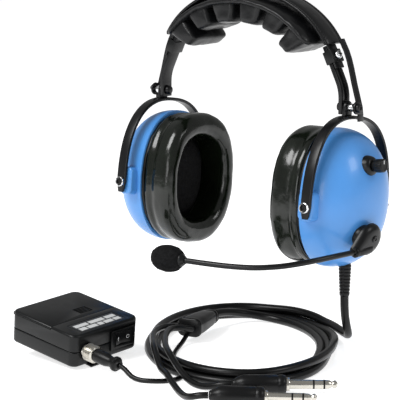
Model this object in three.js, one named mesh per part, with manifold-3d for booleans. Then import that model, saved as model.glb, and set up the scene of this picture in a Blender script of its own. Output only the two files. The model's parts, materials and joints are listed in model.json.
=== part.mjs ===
// Aviation headset with its coiled cord, two plugs and battery module.
// Millimetres, +Z up. The wearer faces -Y and the wearer's left ear is at +X.
// The origin is midway between the two ear seals, where the wearer's head holds it.
import * as THREE from 'three';
import { mergeVertices } from 'three/addons/utils/BufferGeometryUtils.js';
import Module from 'manifold-3d';

const wasm = await Module();
wasm.setup();

// ---------------------------------------------------------------- dimensions
const GAP = 0.35;                        // clearance left between neighbouring pieces
const FLOOR = -112;                      // surface that the cord and module lie on
const PITCH = THREE.MathUtils.degToRad(7);   // cups lean back by this much

const CUP = { halfY: 40.5, halfZ: 50.5, rim: 75, depth: 38, wall: 2.6, crown: 2.3, outline: 2.2 };
const SEAL = { halfY: 40, halfZ: 50, face: 46, back: 72, outline: 2.4 };
const BAFFLE = { front: 72.4, back: 74.6, half: 39.8, hole: 19.6 };
const SPEAKER = { radius: 19, front: 72.8, magnet: 9.5, back: 88 };
const FOAM = { front: 67.5, back: 71.7, half: 25.4 };
const BOSS = { low: [80.2, -13.9], high: [88.9, 3.9], corner: 2.6, bevel: 1.6, inner: 37, outer: 46.3 };

const PIVOT = { z: -6, halfSpan: 48, shank: 1.8, hole: 2.3, head: 4.3 };
const YOKE = { x: 87, width: 8.6, thick: 2.5, rise: 64.5, tail: 8, power: 2.5, tab: [85.9, 88.3] };
const BOLT = { z: 66, shank: 1.9, hole: 2.3, inner: 79.2, outer: 98.6 };

const BAND = { a: 82, b: 62, z: 86, coverHalf: 11, springHalf: 5, padHalf: 22.5 };
const COVER = { thick: 2.4, end: THREE.MathUtils.degToRad(66.5) };
const SPRING = { depth: 3.4, thick: 1.2, end: THREE.MathUtils.degToRad(70), leg: 14 };
const PAD = { depth: 9.2, thick: 6.5, end: THREE.MathUtils.degToRad(63) };
const BLOCK = { count: 6, pitch: 21, halfAngle: 9.4, reach: 25, endReach: 29, halfY: 20.5 };
const LEAN = THREE.MathUtils.degToRad(26);   // slide direction, away from vertical
const SLIDE = { offset: -3, thick: 3, width: 10, top: 4, straight: 22.8, bend: 28, foot: 61 };
const STRAP = { thick: 1.5, width: 5.5, rear: 4.5 };
const CLAMP = { low: -9.5, high: 0, inner: -5.6, outer: 1.8, halfY: 6.15, wall: 0.8, screwAt: -4.8 };
const GROOVE = { half: 1.7, depth: 1.2, from: -12, to: 71 };   // along the bar's outer face

const KNOB = { at: [109, -5.8, 25.7], tilt: THREE.MathUtils.degToRad(-7) };
const MOUNT = { at: [109.2, -8.5, -24], tilt: THREE.MathUtils.degToRad(17) };
const BOOM_RADIUS = 2;
const RELIEF = { x: 87, top: -43, end: -71.3 };

const CORD = { main: 3.1, branch: 2.3, lead: 1.75, groove: 0.9 };
const COIL = { x: 29, y: -45, halfX: 62, halfY: 91, halfWidth: 10, height: 11.6 };
const COIL_TURN = THREE.MathUtils.degToRad(40);  // direction of the coil's short axis

const MODULE = {
  x: -55.4, y: -135.1, turn: -2, tilt: 8, rock: 3, lift: 3.2, length: 66, width: 64, height: 24,
};
const CASE = { wall: 2, seam: 11, corner: 4, socketY: -19.5, socketZ: 10.6 };
const DOOR = { front: 8.5, thick: 2, tongue: 2 };

// ----------------------------------------------------------------- materials
const material = (color, roughness, metalness = 0) =>
  new THREE.MeshStandardMaterial({ color, roughness, metalness, flatShading: true });
const BLUE = material(0x4a8fdc, 0.38);
const SEAL_VINYL = material(0x11160f, 0.18);
const BLACK_PLASTIC = material(0x15171a, 0.45);
const BLACK_STEEL = material(0x1b1c1f, 0.5, 0.4);
const LEATHERETTE = material(0x1a1b1d, 0.42);
const FOAM_BLACK = material(0x121314, 0.95);
const CHROME = material(0xd8dadc, 0.18, 1);
const BRASS = material(0xc9b37a, 0.25, 1);
const RUBBER = material(0x101113, 0.55);
const GREEN_BOARD = material(0x1d5a34, 0.6);
const CELL = material(0x7a8088, 0.4, 0.3);
const LABEL = material(0x3a3d40, 0.5);

// ------------------------------------------------------------------- helpers
function signedVolume(position, index) {
  const [a, b, c] = [new THREE.Vector3(), new THREE.Vector3(), new THREE.Vector3()];
  let sum = 0;
  for (let i = 0; i < index.length; i += 3) {
    a.fromBufferAttribute(position, index[i]);
    b.fromBufferAttribute(position, index[i + 1]);
    c.fromBufferAttribute(position, index[i + 2]);
    sum += a.dot(b.cross(c));
  }
  return sum / 6;
}

// One closed body with shared vertices and its faces pointing out.
function closed(geometry) {
  const bare = new THREE.BufferGeometry();
  bare.setAttribute('position', geometry.getAttribute('position'));
  bare.setIndex(geometry.getIndex());
  const merged = mergeVertices(bare, 1e-4);
  const source = merged.getIndex().array;
  const index = [];
  for (let i = 0; i < source.length; i += 3) {
    const [a, b, c] = source.slice(i, i + 3);
    if (a !== b && b !== c && c !== a) index.push(a, b, c);
  }
  const inward = signedVolume(merged.getAttribute('position'), index) < 0;
  merged.setIndex(inward ? index.reverse() : index);
  return merged;
}

function toSolid(geometry) {
  const mesh = closed(geometry);
  const vertProperties = new Float32Array(mesh.getAttribute('position').array);
  const triVerts = new Uint32Array(mesh.getIndex().array);
  return new wasm.Manifold(new wasm.Mesh({ numProp: 3, vertProperties, triVerts }));
}

function toGeometry(solid) {
  const { vertProperties, triVerts } = solid.getMesh();
  const geometry = new THREE.BufferGeometry();
  geometry.setAttribute('position', new THREE.BufferAttribute(vertProperties, 3));
  geometry.setIndex(new THREE.BufferAttribute(triVerts, 1));
  return geometry;
}

const join = (...shapes) =>
  toGeometry(shapes.map(toSolid).reduce((whole, next) => whole.add(next)));
const cut = (shape, ...tools) =>
  toGeometry(tools.map(toSolid).reduce((whole, tool) => whole.subtract(tool), toSolid(shape)));

function piece(name, geometry, look) {
  const mesh = new THREE.Mesh(closed(geometry), look);
  mesh.name = name;
  return mesh;
}

function group(...children) {
  const holder = new THREE.Group();
  holder.add(...children);
  return holder;
}

const flat = (pairs) => pairs.map(([x, y]) => new THREE.Vector2(x, y));
const spots = (triples) => triples.map(([x, y, z]) => new THREE.Vector3(x, y, z));

// Turns a shape drawn along +Z so that it runs along +X, with its X and Y on Y and Z.
const Z_TO_X = new THREE.Matrix4().makeBasis(...spots([[0, 1, 0], [0, 0, 1], [1, 0, 0]]));

// A box given by its lowest and highest corners.
function block(x0, y0, z0, x1, y1, z1) {
  const box = new THREE.BoxGeometry(x1 - x0, y1 - y0, z1 - z0);
  return box.translate((x0 + x1) / 2, (y0 + y1) / 2, (z0 + z1) / 2);
}

// A turned piece along +X, from (radius, x) pairs that start and end on the axis.
function turnedX(pairs, sides = 16) {
  return new THREE.LatheGeometry(flat(pairs), sides).rotateZ(-Math.PI / 2);
}

// A plain rod along X from x0 to x1.
function rodX(radius, x0, x1, y = 0, z = 0, sides = 14) {
  const rod = new THREE.CylinderGeometry(radius, radius, x1 - x0, sides).rotateZ(Math.PI / 2);
  return rod.translate((x0 + x1) / 2, y, z);
}

// A plain rod along Y from y0 to y1.
function rodY(radius, y0, y1, x, z, sides = 12) {
  const rod = new THREE.CylinderGeometry(radius, radius, y1 - y0, sides);
  return rod.translate(x, (y0 + y1) / 2, z);
}

// An outline drawn in X and Y, given height along +Z.
function prism(outline, height) {
  return new THREE.ExtrudeGeometry(new THREE.Shape(outline), { depth: height, bevelEnabled: false });
}

// An outline drawn in X and Z, given thickness from y0 to y1.
function slabY(outline, y0, y1) {
  return prism(outline, y1 - y0).rotateX(Math.PI / 2).translate(0, y1, 0);
}

// An outline drawn in Y and Z, given thickness from x0 to x1.
function slabX(outline, x0, x1) {
  return prism(outline, x1 - x0).applyMatrix4(Z_TO_X).translate(x0, 0, 0);
}

// A line moved sideways, to its left as it runs.
function beside(line, distance) {
  return line.map((point, i) => {
    const before = line[Math.max(i - 1, 0)];
    const after = line[Math.min(i + 1, line.length - 1)];
    const along = after.clone().sub(before).normalize();
    return point.clone().addScaledVector(new THREE.Vector2(-along.y, along.x), distance);
  });
}

// The outline of a strip of even thickness that follows a centreline.
const strip = (centre, thick) => [
  ...beside(centre, thick / 2),
  ...beside(centre, -thick / 2).reverse(),
];

// A turned ring or dome about +X whose round section is stretched into an oval.
// The stretch along Z reaches its full amount beyond the radius called core.
function ovalX(pairs, extra, core, power, sides, growth = 1) {
  const shape = new THREE.LatheGeometry(flat(pairs), sides).rotateX(Math.PI / 2);
  const position = shape.getAttribute('position');
  for (let i = 0; i < position.count; i += 1) {
    const [x, y] = [position.getX(i), position.getY(i)];
    const radius = Math.hypot(x, y);
    if (radius < 1e-6) continue;
    const [c, s] = [x / radius, y / radius];
    const round = (Math.abs(c) ** power + Math.abs(s) ** power) ** (-1 / power);
    const tall = radius + extra * Math.min(1, radius / core) ** growth;
    position.setXY(i, c * round * radius, s * round * tall);
  }
  return shape.applyMatrix4(Z_TO_X);
}

// A round cord or rod along a smooth curve through the points.
function tube(points, radius, sides, spacing) {
  const path = new THREE.CatmullRomCurve3(spots(points));
  const steps = Math.max(2, Math.round(path.getLength() / spacing));
  const corners = Array.from({ length: sides }, (_, i) => {
    const angle = (i / sides) * 2 * Math.PI;
    return new THREE.Vector2(radius * Math.cos(angle), radius * Math.sin(angle));
  });
  const settings = { steps, extrudePath: path, bevelEnabled: false };
  return new THREE.ExtrudeGeometry(new THREE.Shape(corners), settings);
}

// ----------------------------------------------------------------- ear cups
const CUP_EXTRA = CUP.halfZ - CUP.halfY;

function domeProfile(inset, sides = 7) {
  return Array.from({ length: sides + 1 }, (_, i) => {
    const t = (i / sides) * Math.PI / 2;
    const reach = Math.cos(t) ** (2 / CUP.crown);
    const rise = Math.sin(t) ** (2 / CUP.crown);
    return [i === sides ? 0 : (CUP.halfY - inset) * reach, CUP.rim + (CUP.depth - inset) * rise];
  });
}

// The dome filled in and grown by a margin, used to trim what sits on it.
function domeBlank(margin) {
  const { halfY, rim, outline } = CUP;
  const profile = [[0, rim - 30], [halfY + margin, rim - 30], ...domeProfile(-margin)];
  return ovalX(profile, CUP_EXTRA, halfY, outline, 32);
}

// The two rounded blocks at the shell's front and rear that carry the pivots.
function bossGeometries() {
  const { low, high, corner, bevel, inner, outer } = BOSS;
  const shape = new THREE.Shape();
  const [x0, z0, x1, z1] = [...low, ...high];
  shape.absarc(x1 - corner, z1 - corner, corner, 0, Math.PI / 2);
  shape.absarc(x0 + corner, z1 - corner, corner, Math.PI / 2, Math.PI);
  shape.absarc(x0 + corner, z0 + corner, corner, Math.PI, Math.PI * 1.5);
  shape.absarc(x1 - corner, z0 + corner, corner, Math.PI * 1.5, Math.PI * 2);
  const depth = outer - inner - 2 * bevel;
  const settings = {
    depth, curveSegments: 3, bevelSize: bevel, bevelThickness: bevel, bevelSegments: 1,
  };
  const rear = new THREE.ExtrudeGeometry(shape, settings).rotateX(Math.PI / 2).translate(0, outer - bevel, 0);
  return [rear, rear.clone().rotateY(Math.PI).rotateX(Math.PI).scale(-1, 1, 1)];
}

function shellGeometry() {
  const { halfY, rim, outline, wall } = CUP;
  const outside = ovalX([[0, rim], ...domeProfile(0)], CUP_EXTRA, halfY, outline, 32);
  const hollow = [[0, rim - 1], [halfY - wall, rim - 1], ...domeProfile(wall, 5)];
  const inside = ovalX(hollow, CUP_EXTRA, halfY, outline, 20);
  const holes = [-48, 42.6].map((y0) => rodY(PIVOT.hole, y0, y0 + 5.4, YOKE.x, PIVOT.z, 10));
  return cut(join(outside, ...bossGeometries()), inside, ...holes);
}

function sealGeometry() {
  const loop = [
    [27, 53], [27.9, 49], [29.6, 46.8], [31.4, SEAL.face], [34.2, SEAL.face], [37.6, 48], [39.6, 51.8],
    [40, 56], [39.7, 61], [38.8, 64.6], [38.8, 65.8], [39.4, 67.4], [39.4, 69.6], [38.6, SEAL.back],
    [27, SEAL.back], [27, 53],
  ];
  return ovalX(loop, SEAL.halfZ - SEAL.halfY, SEAL.halfY, SEAL.outline, 28, 1.8);
}

function baffleGeometry() {
  const { front, back, half, hole } = BAFFLE;
  const loop = [[hole, front], [half, front], [half, back], [hole, back], [hole, front]];
  return ovalX(loop, 8.4, half, CUP.outline, 20);
}

function speakerGeometry() {
  const { radius, front, magnet, back } = SPEAKER;
  return turnedX([
    [0, front + 3], [12, front], [radius, front], [radius, 76], [magnet + 1, 82], [magnet, back], [0, back],
  ]);
}

function foamGeometry() {
  const { front, back, half } = FOAM;
  const profile = [[0, front], [half - 2, front], [half, front + 2], [half, back], [0, back]];
  return ovalX(profile, 4.3, half, SEAL.outline, 20);
}

function pivotScrew(way) {
  const from = 42.9;
  const seat = PIVOT.halfSpan + YOKE.thick / 2 + GAP;
  const under = seat - from;
  const { shank, head } = PIVOT;
  const screw = new THREE.LatheGeometry(flat([
    [0, 0], [shank, 0], [shank, under], [head, under], [head, under + 1.2], [2.6, under + 2.6],
    [0, under + 2.6],
  ]), 12);
  if (way < 0) screw.rotateX(Math.PI);
  return screw.translate(YOKE.x, way * from, PIVOT.z);
}

function cupPieces(side, shell) {
  return [
    piece(`${side}_cup_shell`, shell, BLUE),
    piece(`${side}_ear_seal`, sealGeometry(), SEAL_VINYL),
    piece(`${side}_baffle`, baffleGeometry(), BLACK_PLASTIC),
    piece(`${side}_speaker`, speakerGeometry(), BLACK_STEEL),
    piece(`${side}_acoustic_foam`, foamGeometry(), FOAM_BLACK),
  ];
}

// --------------------------------------------------------------- yoke straps
function yokeCentreline() {
  const points = [new THREE.Vector2(-PIVOT.halfSpan, PIVOT.z - YOKE.tail)];
  const steps = 18;
  for (let i = 0; i <= steps; i += 1) {
    const t = Math.PI * (i / steps);
    const reach = Math.sign(Math.cos(t)) * Math.abs(Math.cos(t)) ** (2 / YOKE.power);
    const rise = Math.sin(t) ** (2 / YOKE.power);
    points.push(new THREE.Vector2(-PIVOT.halfSpan * reach, PIVOT.z + YOKE.rise * rise));
  }
  points.push(new THREE.Vector2(PIVOT.halfSpan, PIVOT.z - YOKE.tail));
  return points;
}

// The tab stands in front of the arch's crown, because the yoke leans back from the arm.
function yokeGeometry(rear) {
  const [x0, x1] = [YOKE.x - YOKE.width / 2, YOKE.x + YOKE.width / 2];
  const tabY = -rear * BOLT.z * Math.sin(PITCH);
  const tabZ = BOLT.z * Math.cos(PITCH);
  const arch = slabX(strip(yokeCentreline(), YOKE.thick), x0, x1);
  const [near, far] = YOKE.tab;
  const tab = block(near, tabY - 4.6, 57.6, far, tabY + 4.6, tabZ);
  const eye = rodX(4.6, near, far, tabY, tabZ, 16);
  const pivots = [-51, 45].map((y0) => rodY(PIVOT.hole, y0, y0 + 6, YOKE.x, PIVOT.z, 10));
  return cut(join(arch, tab, eye), rodX(BOLT.hole, 84, 90, tabY, tabZ, 10), ...pivots);
}

// --------------------------------------------------------------- slotted arms
// A point under the band's outer curve, at an angle from the top.
function onBand(depth, angle) {
  const { a, b, z } = BAND;
  return new THREE.Vector2((a - depth) * Math.sin(angle), z + (b - depth) * Math.cos(angle));
}

const OUTWARD = new THREE.Vector2(Math.cos(LEAN), Math.sin(LEAN));
const UPWARD = new THREE.Vector2(-Math.sin(LEAN), Math.cos(LEAN));
const SPRING_FOOT = onBand(SPRING.depth, SPRING.end);

// A point given along the slide's outward and upward directions.
const onSlide = (out, up) => SPRING_FOOT.clone().addScaledVector(OUTWARD, out).addScaledVector(UPWARD, up);

function barCentreline() {
  const top = onSlide(SLIDE.offset, SLIDE.top);
  const knee = onSlide(SLIDE.offset, -SLIDE.straight);
  const middle = knee.clone().addScaledVector(OUTWARD, -SLIDE.bend);
  const bend = Array.from({ length: 6 }, (_, i) => {
    const angle = LEAN * (1 - i / 5);
    const spoke = new THREE.Vector2(Math.cos(angle), Math.sin(angle));
    return middle.clone().addScaledVector(spoke, SLIDE.bend);
  });
  return [top, ...bend, new THREE.Vector2(bend[5].x, SLIDE.foot)];
}

function barGeometry() {
  const half = SLIDE.width / 2;
  const bar = slabY(strip(barCentreline(), SLIDE.thick), -half, half);
  const bends = barCentreline().slice(1, 7);
  const line = [onSlide(SLIDE.offset, GROOVE.from), ...bends, new THREE.Vector2(bends[5].x, GROOVE.to)];
  const outside = beside(line, SLIDE.thick / 2 - GROOVE.depth + 1.3);
  const groove = slabY(strip(outside, 2.6), -GROOVE.half, GROOVE.half);
  return cut(bar, groove, rodX(BOLT.hole, 78, 90, 0, BOLT.z, 10));
}

function strapGeometry(rear) {
  const line = new THREE.SplineCurve(flat(
    [[77.8, 116], [81.3, 108], [85, 99], [87.8, 89.5], [90.3, 80], [93, 71], [95, 64], [95.2, 56]]));
  const middle = rear * STRAP.rear;
  const half = STRAP.width / 2;
  const blade = slabY(strip(line.getPoints(11), STRAP.thick), middle - half, middle + half);
  const eye = rodX(4.8, 94.4, 95.9, rear * 0.6, BOLT.z, 16);
  return cut(join(blade, eye), rodX(BOLT.hole, 90, 99, 0, BOLT.z, 10));
}

// A standoff bolt: its thick middle holds the outer strap away from the yoke's tab.
function armBoltGeometry() {
  const { shank, inner, outer } = BOLT;
  return turnedX([
    [0, inner], [2.6, inner], [3.4, inner + 1], [3.4, 82.1], [shank, 82.1], [shank, 88.7], [2.9, 88.7],
    [2.9, 92.2], [shank, 92.2], [shank, 96.3], [3.3, 96.3], [3.3, outer - 1], [2.6, outer], [0, outer],
  ], 12).translate(0, 0, BOLT.z);
}

function armPieces(side, rear) {
  return [
    piece(`${side}_slide_bar`, barGeometry(), BLACK_STEEL),
    piece(`${side}_outer_strap`, strapGeometry(rear), BLACK_STEEL),
    piece(`${side}_arm_bolt`, armBoltGeometry(), CHROME),
  ];
}

// ------------------------------------------------------------------ headband
function bandArc(depth, end, steps) {
  return Array.from({ length: steps + 1 }, (_, i) => {
    const angle = -end + (2 * end * i) / steps;
    return onBand(depth, angle);
  });
}

function springGeometry() {
  const foot = onSlide(0, -SPRING.leg);
  const line = [new THREE.Vector2(-foot.x, foot.y), ...bandArc(SPRING.depth, SPRING.end, 20), foot];
  const band = slabY(strip(line, SPRING.thick), -BAND.springHalf, BAND.springHalf);
  return cut(band, ...[1, -1].map((way) => placeOnSlide(rodX(1.7, -3, 6, 0, 0, 10), way)));
}

function coverGeometry() {
  const middle = bandArc(COVER.thick / 2, COVER.end, 20);
  return slabY(strip(middle, COVER.thick), -BAND.coverHalf, BAND.coverHalf);
}

// Moves a shape drawn along the slide's axes onto the +X or -X slide.
function placeOnSlide(shape, way, up = CLAMP.screwAt) {
  const centre = onSlide(0, up);
  shape.rotateY(-LEAN).translate(centre.x, 0, centre.y);
  return way > 0 ? shape : shape.rotateZ(Math.PI);
}

function padGeometry() {
  const arc = bandArc(PAD.depth, PAD.end, 18);
  const flange = slabY(strip(arc, PAD.thick), -BAND.padHalf, BAND.padHalf);
  const lobes = Array.from({ length: BLOCK.count }, (_, i) => {
    const centre = (i - (BLOCK.count - 1) / 2) * BLOCK.pitch;
    const reach = i === 0 || i === BLOCK.count - 1 ? BLOCK.endReach : BLOCK.reach;
    const edges = [[-1, 8], [1, 8], [0.86, reach], [-0.86, reach]];
    const outline = edges.map(([way, depth]) => {
      const angle = THREE.MathUtils.degToRad(centre + way * BLOCK.halfAngle);
      return onBand(depth, angle);
    });
    return slabY(outline, -BLOCK.halfY, BLOCK.halfY);
  });
  const pockets = [1, -1].map((way) => placeOnSlide(block(-7.2, -8.2, -16, 6, 8.2, 17), way, 0));
  return cut(join(flange, ...lobes), ...pockets);
}

function clampGeometry(way) {
  const { inner, outer, halfY, wall, low, high } = CLAMP;
  const outside = block(inner, -halfY, low, outer, halfY, high);
  const inside = block(inner + wall, wall - halfY, low - 1, outer - wall, halfY - wall, high + 1);
  const hole = rodX(1.7, outer - wall - 1, outer + 1).translate(0, 0, CLAMP.screwAt);
  return placeOnSlide(cut(outside, inside, hole), way, 0);
}

function clampScrewGeometry(way) {
  const seat = CLAMP.outer + GAP;
  const screw = [
    [0, -1.1], [1.3, -1.1], [1.3, seat], [3.1, seat], [3.1, seat + 1.6], [2, seat + 2.7], [0, seat + 2.7],
  ];
  return placeOnSlide(turnedX(screw, 12), way);
}

function headbandPieces() {
  const parts = [
    piece('headband_spring', springGeometry(), BLACK_STEEL),
    piece('headband_cover', coverGeometry(), LEATHERETTE),
    piece('head_pad', padGeometry(), LEATHERETTE),
  ];
  [['left', 1], ['right', -1]].forEach(([side, way]) => {
    parts.push(piece(`${side}_slide_clamp`, clampGeometry(way), BLACK_PLASTIC));
    parts.push(piece(`${side}_clamp_screw`, clampScrewGeometry(way), CHROME));
  });
  return parts;
}

// ------------------------------------------------- controls on the left shell
// Shapes here are drawn along +X from the point where they meet the dome.
function seated(shape, { at, tilt }) {
  return shape.rotateY(tilt).translate(...at);
}

function knobPieces() {
  const flare = seated(turnedX([[0, -5], [7.6, -5], [7, 1], [5.2, 3.4], [0, 3.4]]), KNOB);
  const body = seated(turnedX([[0, -17], [8, -17], [8, -8.4], [3.2, -8.4], [3.2, 2], [0, 2]]), KNOB);
  const control = join(cut(flare, domeBlank(GAP)), body);
  const grip = turnedX([
    [0, -5.6], [1.9, -5.6], [1.9, 3.8], [4, 3.8], [4, 5.2], [4.9, 6.2], [4.9, 11], [4.1, 12.2], [0, 12.2],
  ], 18);
  return [
    piece('volume_control', cut(control, seated(rodX(2.4, -7, 6), KNOB)), BLACK_PLASTIC),
    piece('volume_knob', seated(grip, KNOB), BLACK_PLASTIC),
  ];
}

function boomMountPieces() {
  const base = cut(seated(rodX(8.5, -4, 3, 0, 0, 18), MOUNT), domeBlank(GAP));
  const round = new THREE.CylinderGeometry(10.4, 12.4, 6, 20).rotateZ(-Math.PI / 2).translate(6.4, 1, -0.5);
  const tail = new THREE.CylinderGeometry(3.2, 4, 6, 12).rotateZ(-Math.PI / 2).translate(6.4, -11.4, -7.8);
  const cap = toGeometry(wasm.Manifold.hull([toSolid(round), toSolid(tail)]));
  const barrel = tube([[7.6, 4, -6], [7.6, -6, -7.5], [7.6, -14.6, -8.9]], 3.7, 12, 12);
  return [
    piece('boom_base', base, BLACK_PLASTIC),
    piece('boom_swivel', seated(join(cap, barrel), MOUNT), BLACK_PLASTIC),
  ];
}

function boomPieces() {
  const route = [
    [113.6, -29.6, -31.4], [110.4, -46, -31.8], [105, -60, -33], [98, -71, -34.5], [89.5, -80, -36],
    [75, -90, -37.3], [58, -97, -37.5], [40, -102, -37.1], [25, -104.4, -36.9],
  ];
  const capsule = turnedX([[0, 0.5], [3.2, 0.5], [4.5, 2.5], [4.5, 15], [0, 15]], 14);
  const egg = turnedX([
    [0, 3.4], [5.2, 3.4], [7.6, 5.5], [9.2, 10], [9.6, 15], [8.6, 20.5], [6, 25], [2.6, 27.2], [0, 27.6],
  ]);
  const foam = cut(egg, rodX(4.9, 2, 15.5));
  const head = group(piece('mic_capsule', capsule, BLACK_PLASTIC), piece('mic_windscreen', foam, FOAM_BLACK));
  head.position.set(24.4, -104.5, -36.9);
  head.rotation.z = Math.PI + THREE.MathUtils.degToRad(7);
  return [piece('mic_boom', tube(route, BOOM_RADIUS, 8, 8), BLACK_STEEL), head];
}

function amplifierBoard() {
  return piece('amplifier_board', block(80, -16, -38, 81.6, 16, -24), GREEN_BOARD);
}

function reliefPiece() {
  const { x, top, end } = RELIEF;
  const profile = flat([[0, end], [3.5, end], [4.7, -52], [4.7, top], [0, top]]);
  const cone = new THREE.LatheGeometry(profile, 14);
  return piece('strain_relief', cone.rotateX(Math.PI / 2).translate(x, 0, 0), RUBBER);
}

function leftShell() {
  const pitched = new THREE.Matrix4().makeRotationX(PITCH);
  const gland = new THREE.CylinderGeometry(5.1, 5.1, 30, 14).rotateX(Math.PI / 2);
  gland.translate(RELIEF.x, 0, -52).applyMatrix4(pitched);
  const shaft = seated(rodX(3.6, -12, 10), KNOB);
  return cut(shellGeometry(), gland, shaft);
}

// ------------------------------------------------------------ cord and plugs
const MAIN_ROUTE = [
  [87, 0, -71.6], [87, 0.2, -78], [87, 1, -86], [86.6, 3.6, -94], [84.6, 8.4, -100.5], [80.6, 14, -104.4],
];
const MIC_ROUTE = [
  [-15.7, -60.5, -100.5], [-19.4, -67, -98.8], [-21, -77, -97.8], [-15, -93, -97.6], [-3, -108, -97.6],
  [10, -121.5, -97.8], [23, -133, -101], [34, -141.5, -104.8], [46, -149, -105.4], [58, -156.6, -107.8],
  [70, -163.8, -109.7], [80, -169.4, -109.4], [88, -172.4, -107.4], [93.6, -171.3, -105.8],
  [98.28, -168.04, -105.5],
];
const PHONES_ROUTE = [
  [-7.6, -58.4, -100.5], [-11.2, -66, -98.8], [-13.2, -76, -97.8], [-6, -90, -97.6], [5, -104, -97.6],
  [18, -117.6, -97.7], [31, -128, -98.6], [44, -135.6, -103], [57, -140.8, -108], [69, -143.9, -109.7],
  [79, -144.2, -108.6], [87, -142.6, -106.4], [90.6, -140.6, -105.6], [93.59, -138.35, -105.5],
];
const LEAD_ROUTE = [
  [10.72, -157.45, -103.9], [16, -158, -105.6], [22.5, -158.8, -109], [29.5, -158.4, -110.2],
  [37, -155.4, -110.25], [45.4, -147.6, -110.25], [47.6, -138, -110.25],
  [43, -129.5, -110.25], [33, -121, -110.25], [20, -110, -110.25], [6, -95.5, -110.25],
  [-4, -80, -110.25], [-9, -68.6, -108.6], [-11.7, -59.6, -104.6],
];

function coilPieces() {
  const { halfX, halfY, halfWidth: w, height: h } = COIL;
  const loop = [
    [-w, 2.5], [-w + 2.5, 0], [w - 2.5, 0], [w, 2.5], [w, h - 3], [w - 3, h], [3 - w, h], [-w, h - 3],
    [-w, 2.5],
  ];
  const ring = ovalX(loop.map(([out, up]) => [halfX + out, up]), halfY - halfX, 1, 2, 36);
  ring.applyMatrix4(Z_TO_X.clone().transpose());
  ring.rotateZ(COIL_TURN).translate(COIL.x, COIL.y, FLOOR + 0.05);
  const channels = [[LEAD_ROUTE, CORD.lead], [PHONES_ROUTE, CORD.branch], [MIC_ROUTE, CORD.branch]]
    .map(([route, radius]) => tube(route, radius + CORD.groove, 7, 8));
  return [
    piece('main_cord', tube(MAIN_ROUTE, CORD.main, 8, 6), RUBBER),
    piece('cord_coil', cut(ring, ...channels), RUBBER),
    piece('phones_cord', tube(PHONES_ROUTE, CORD.branch, 8, 9), RUBBER),
    piece('mic_cord', tube(MIC_ROUTE, CORD.branch, 8, 9), RUBBER),
    piece('module_lead', tube(LEAD_ROUTE, CORD.lead, 8, 9), RUBBER),
  ];
}

function yBlockPiece() {
  const upper = [[21, 5], [10, 7.6], [-16, 9.5], [-21, 7.4]];
  const outline = flat([...upper, ...upper.map(([x, y]) => [x, -y]).reverse()]);
  const mesh = piece('y_block', prism(outline, 14), RUBBER);
  mesh.rotation.z = THREE.MathUtils.degToRad(105);
  mesh.position.set(-17.5, -37.5, -107.5);
  return mesh;
}

// A two-ring plug: a moulded grip behind a metal finger, drawn along +X.
function plugPieces(name, tail, turn, pin) {
  const grip = turnedX([[0, 0], [2.9, 0], [4.4, 2], [6.4, 7], [6.5, 33], [5.6, 36], [0, 36]], 14);
  const r = pin / 2;
  const finger = turnedX([
    [0, 36.4], [r + 1.3, 36.4], [r + 1.3, 38.2], [r, 38.6], [r, 60], [r - 0.2, 64],
    [r * 0.62, 66.4], [r * 0.9, 68], [r * 0.5, 70], [0, 70.4],
  ], 12);
  const plug = group(
    piece(`${name}_plug_grip`, grip, RUBBER),
    piece(`${name}_plug_finger`, finger, BRASS),
  );
  plug.position.set(...tail);
  plug.rotation.z = THREE.MathUtils.degToRad(turn);
  return plug;
}

// ------------------------------------------------------------ battery module
// Drawn with +X out of the connector face and the lower front edge at the origin's height.
const FACE = MODULE.length / 2;
const SIDE = MODULE.width / 2;

// A rounded box about the module's middle, pulled in by an inset on every side.
function layer(inset, z0, z1) {
  const shape = new THREE.Shape();
  const radius = CASE.corner - inset;
  const [x, y] = [FACE - CASE.corner, SIDE - CASE.corner];
  shape.absarc(x, y, radius, 0, Math.PI / 2);
  shape.absarc(-x, y, radius, Math.PI / 2, Math.PI);
  shape.absarc(-x, -y, radius, Math.PI, Math.PI * 1.5);
  shape.absarc(x, -y, radius, Math.PI * 1.5, Math.PI * 2);
  const settings = { depth: z1 - z0, bevelEnabled: false, curveSegments: 3 };
  return new THREE.ExtrudeGeometry(shape, settings).translate(0, 0, z0);
}

function bottomGeometry() {
  const { wall, seam, socketY, socketZ } = CASE;
  return cut(layer(0, 0, seam), layer(wall, wall, seam + 1),
    rodX(5.4, FACE - 5, FACE + 1, socketY, socketZ), block(FACE - 5, 3.2, 4.4, FACE + 1, 27.6, seam + 1));
}

// The rear of the roof is left open for the sliding door.
function topGeometry() {
  const { wall, seam, socketY, socketZ } = CASE;
  const { height } = MODULE;
  const sill = height - DOOR.thick - GAP;
  const tongueWay = block(-FACE - 1, wall - SIDE, sill - DOOR.tongue, 0, SIDE - wall, height);
  return cut(layer(0, seam + GAP, height), layer(wall, seam - 1, height - wall),
    rodX(5.4, FACE - 5, FACE + 1, socketY, socketZ), block(FACE - 5, 3.2, seam - 1, FACE + 1, 27.6, 19.6),
    block(-FACE - 1, -SIDE - 1, sill, DOOR.front + GAP, SIDE + 1, height + 1), tongueWay,
    block(14.5, -22, height - 0.8, 29.5, 22, height + 1));
}

// The door is the rear of the roof with a tongue that runs between the side walls.
function doorGeometry() {
  const { height } = MODULE;
  const roof = height - DOOR.thick;
  const ahead = block(DOOR.front, -SIDE - 1, roof - 1, FACE + 1, SIDE + 1, height + 1);
  const plate = cut(layer(0, roof, height), ahead);
  const reach = SIDE - CASE.wall - GAP;
  return join(plate, block(-FACE, -reach, roof - DOOR.tongue, DOOR.front - 4, reach, roof + 0.5));
}

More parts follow.
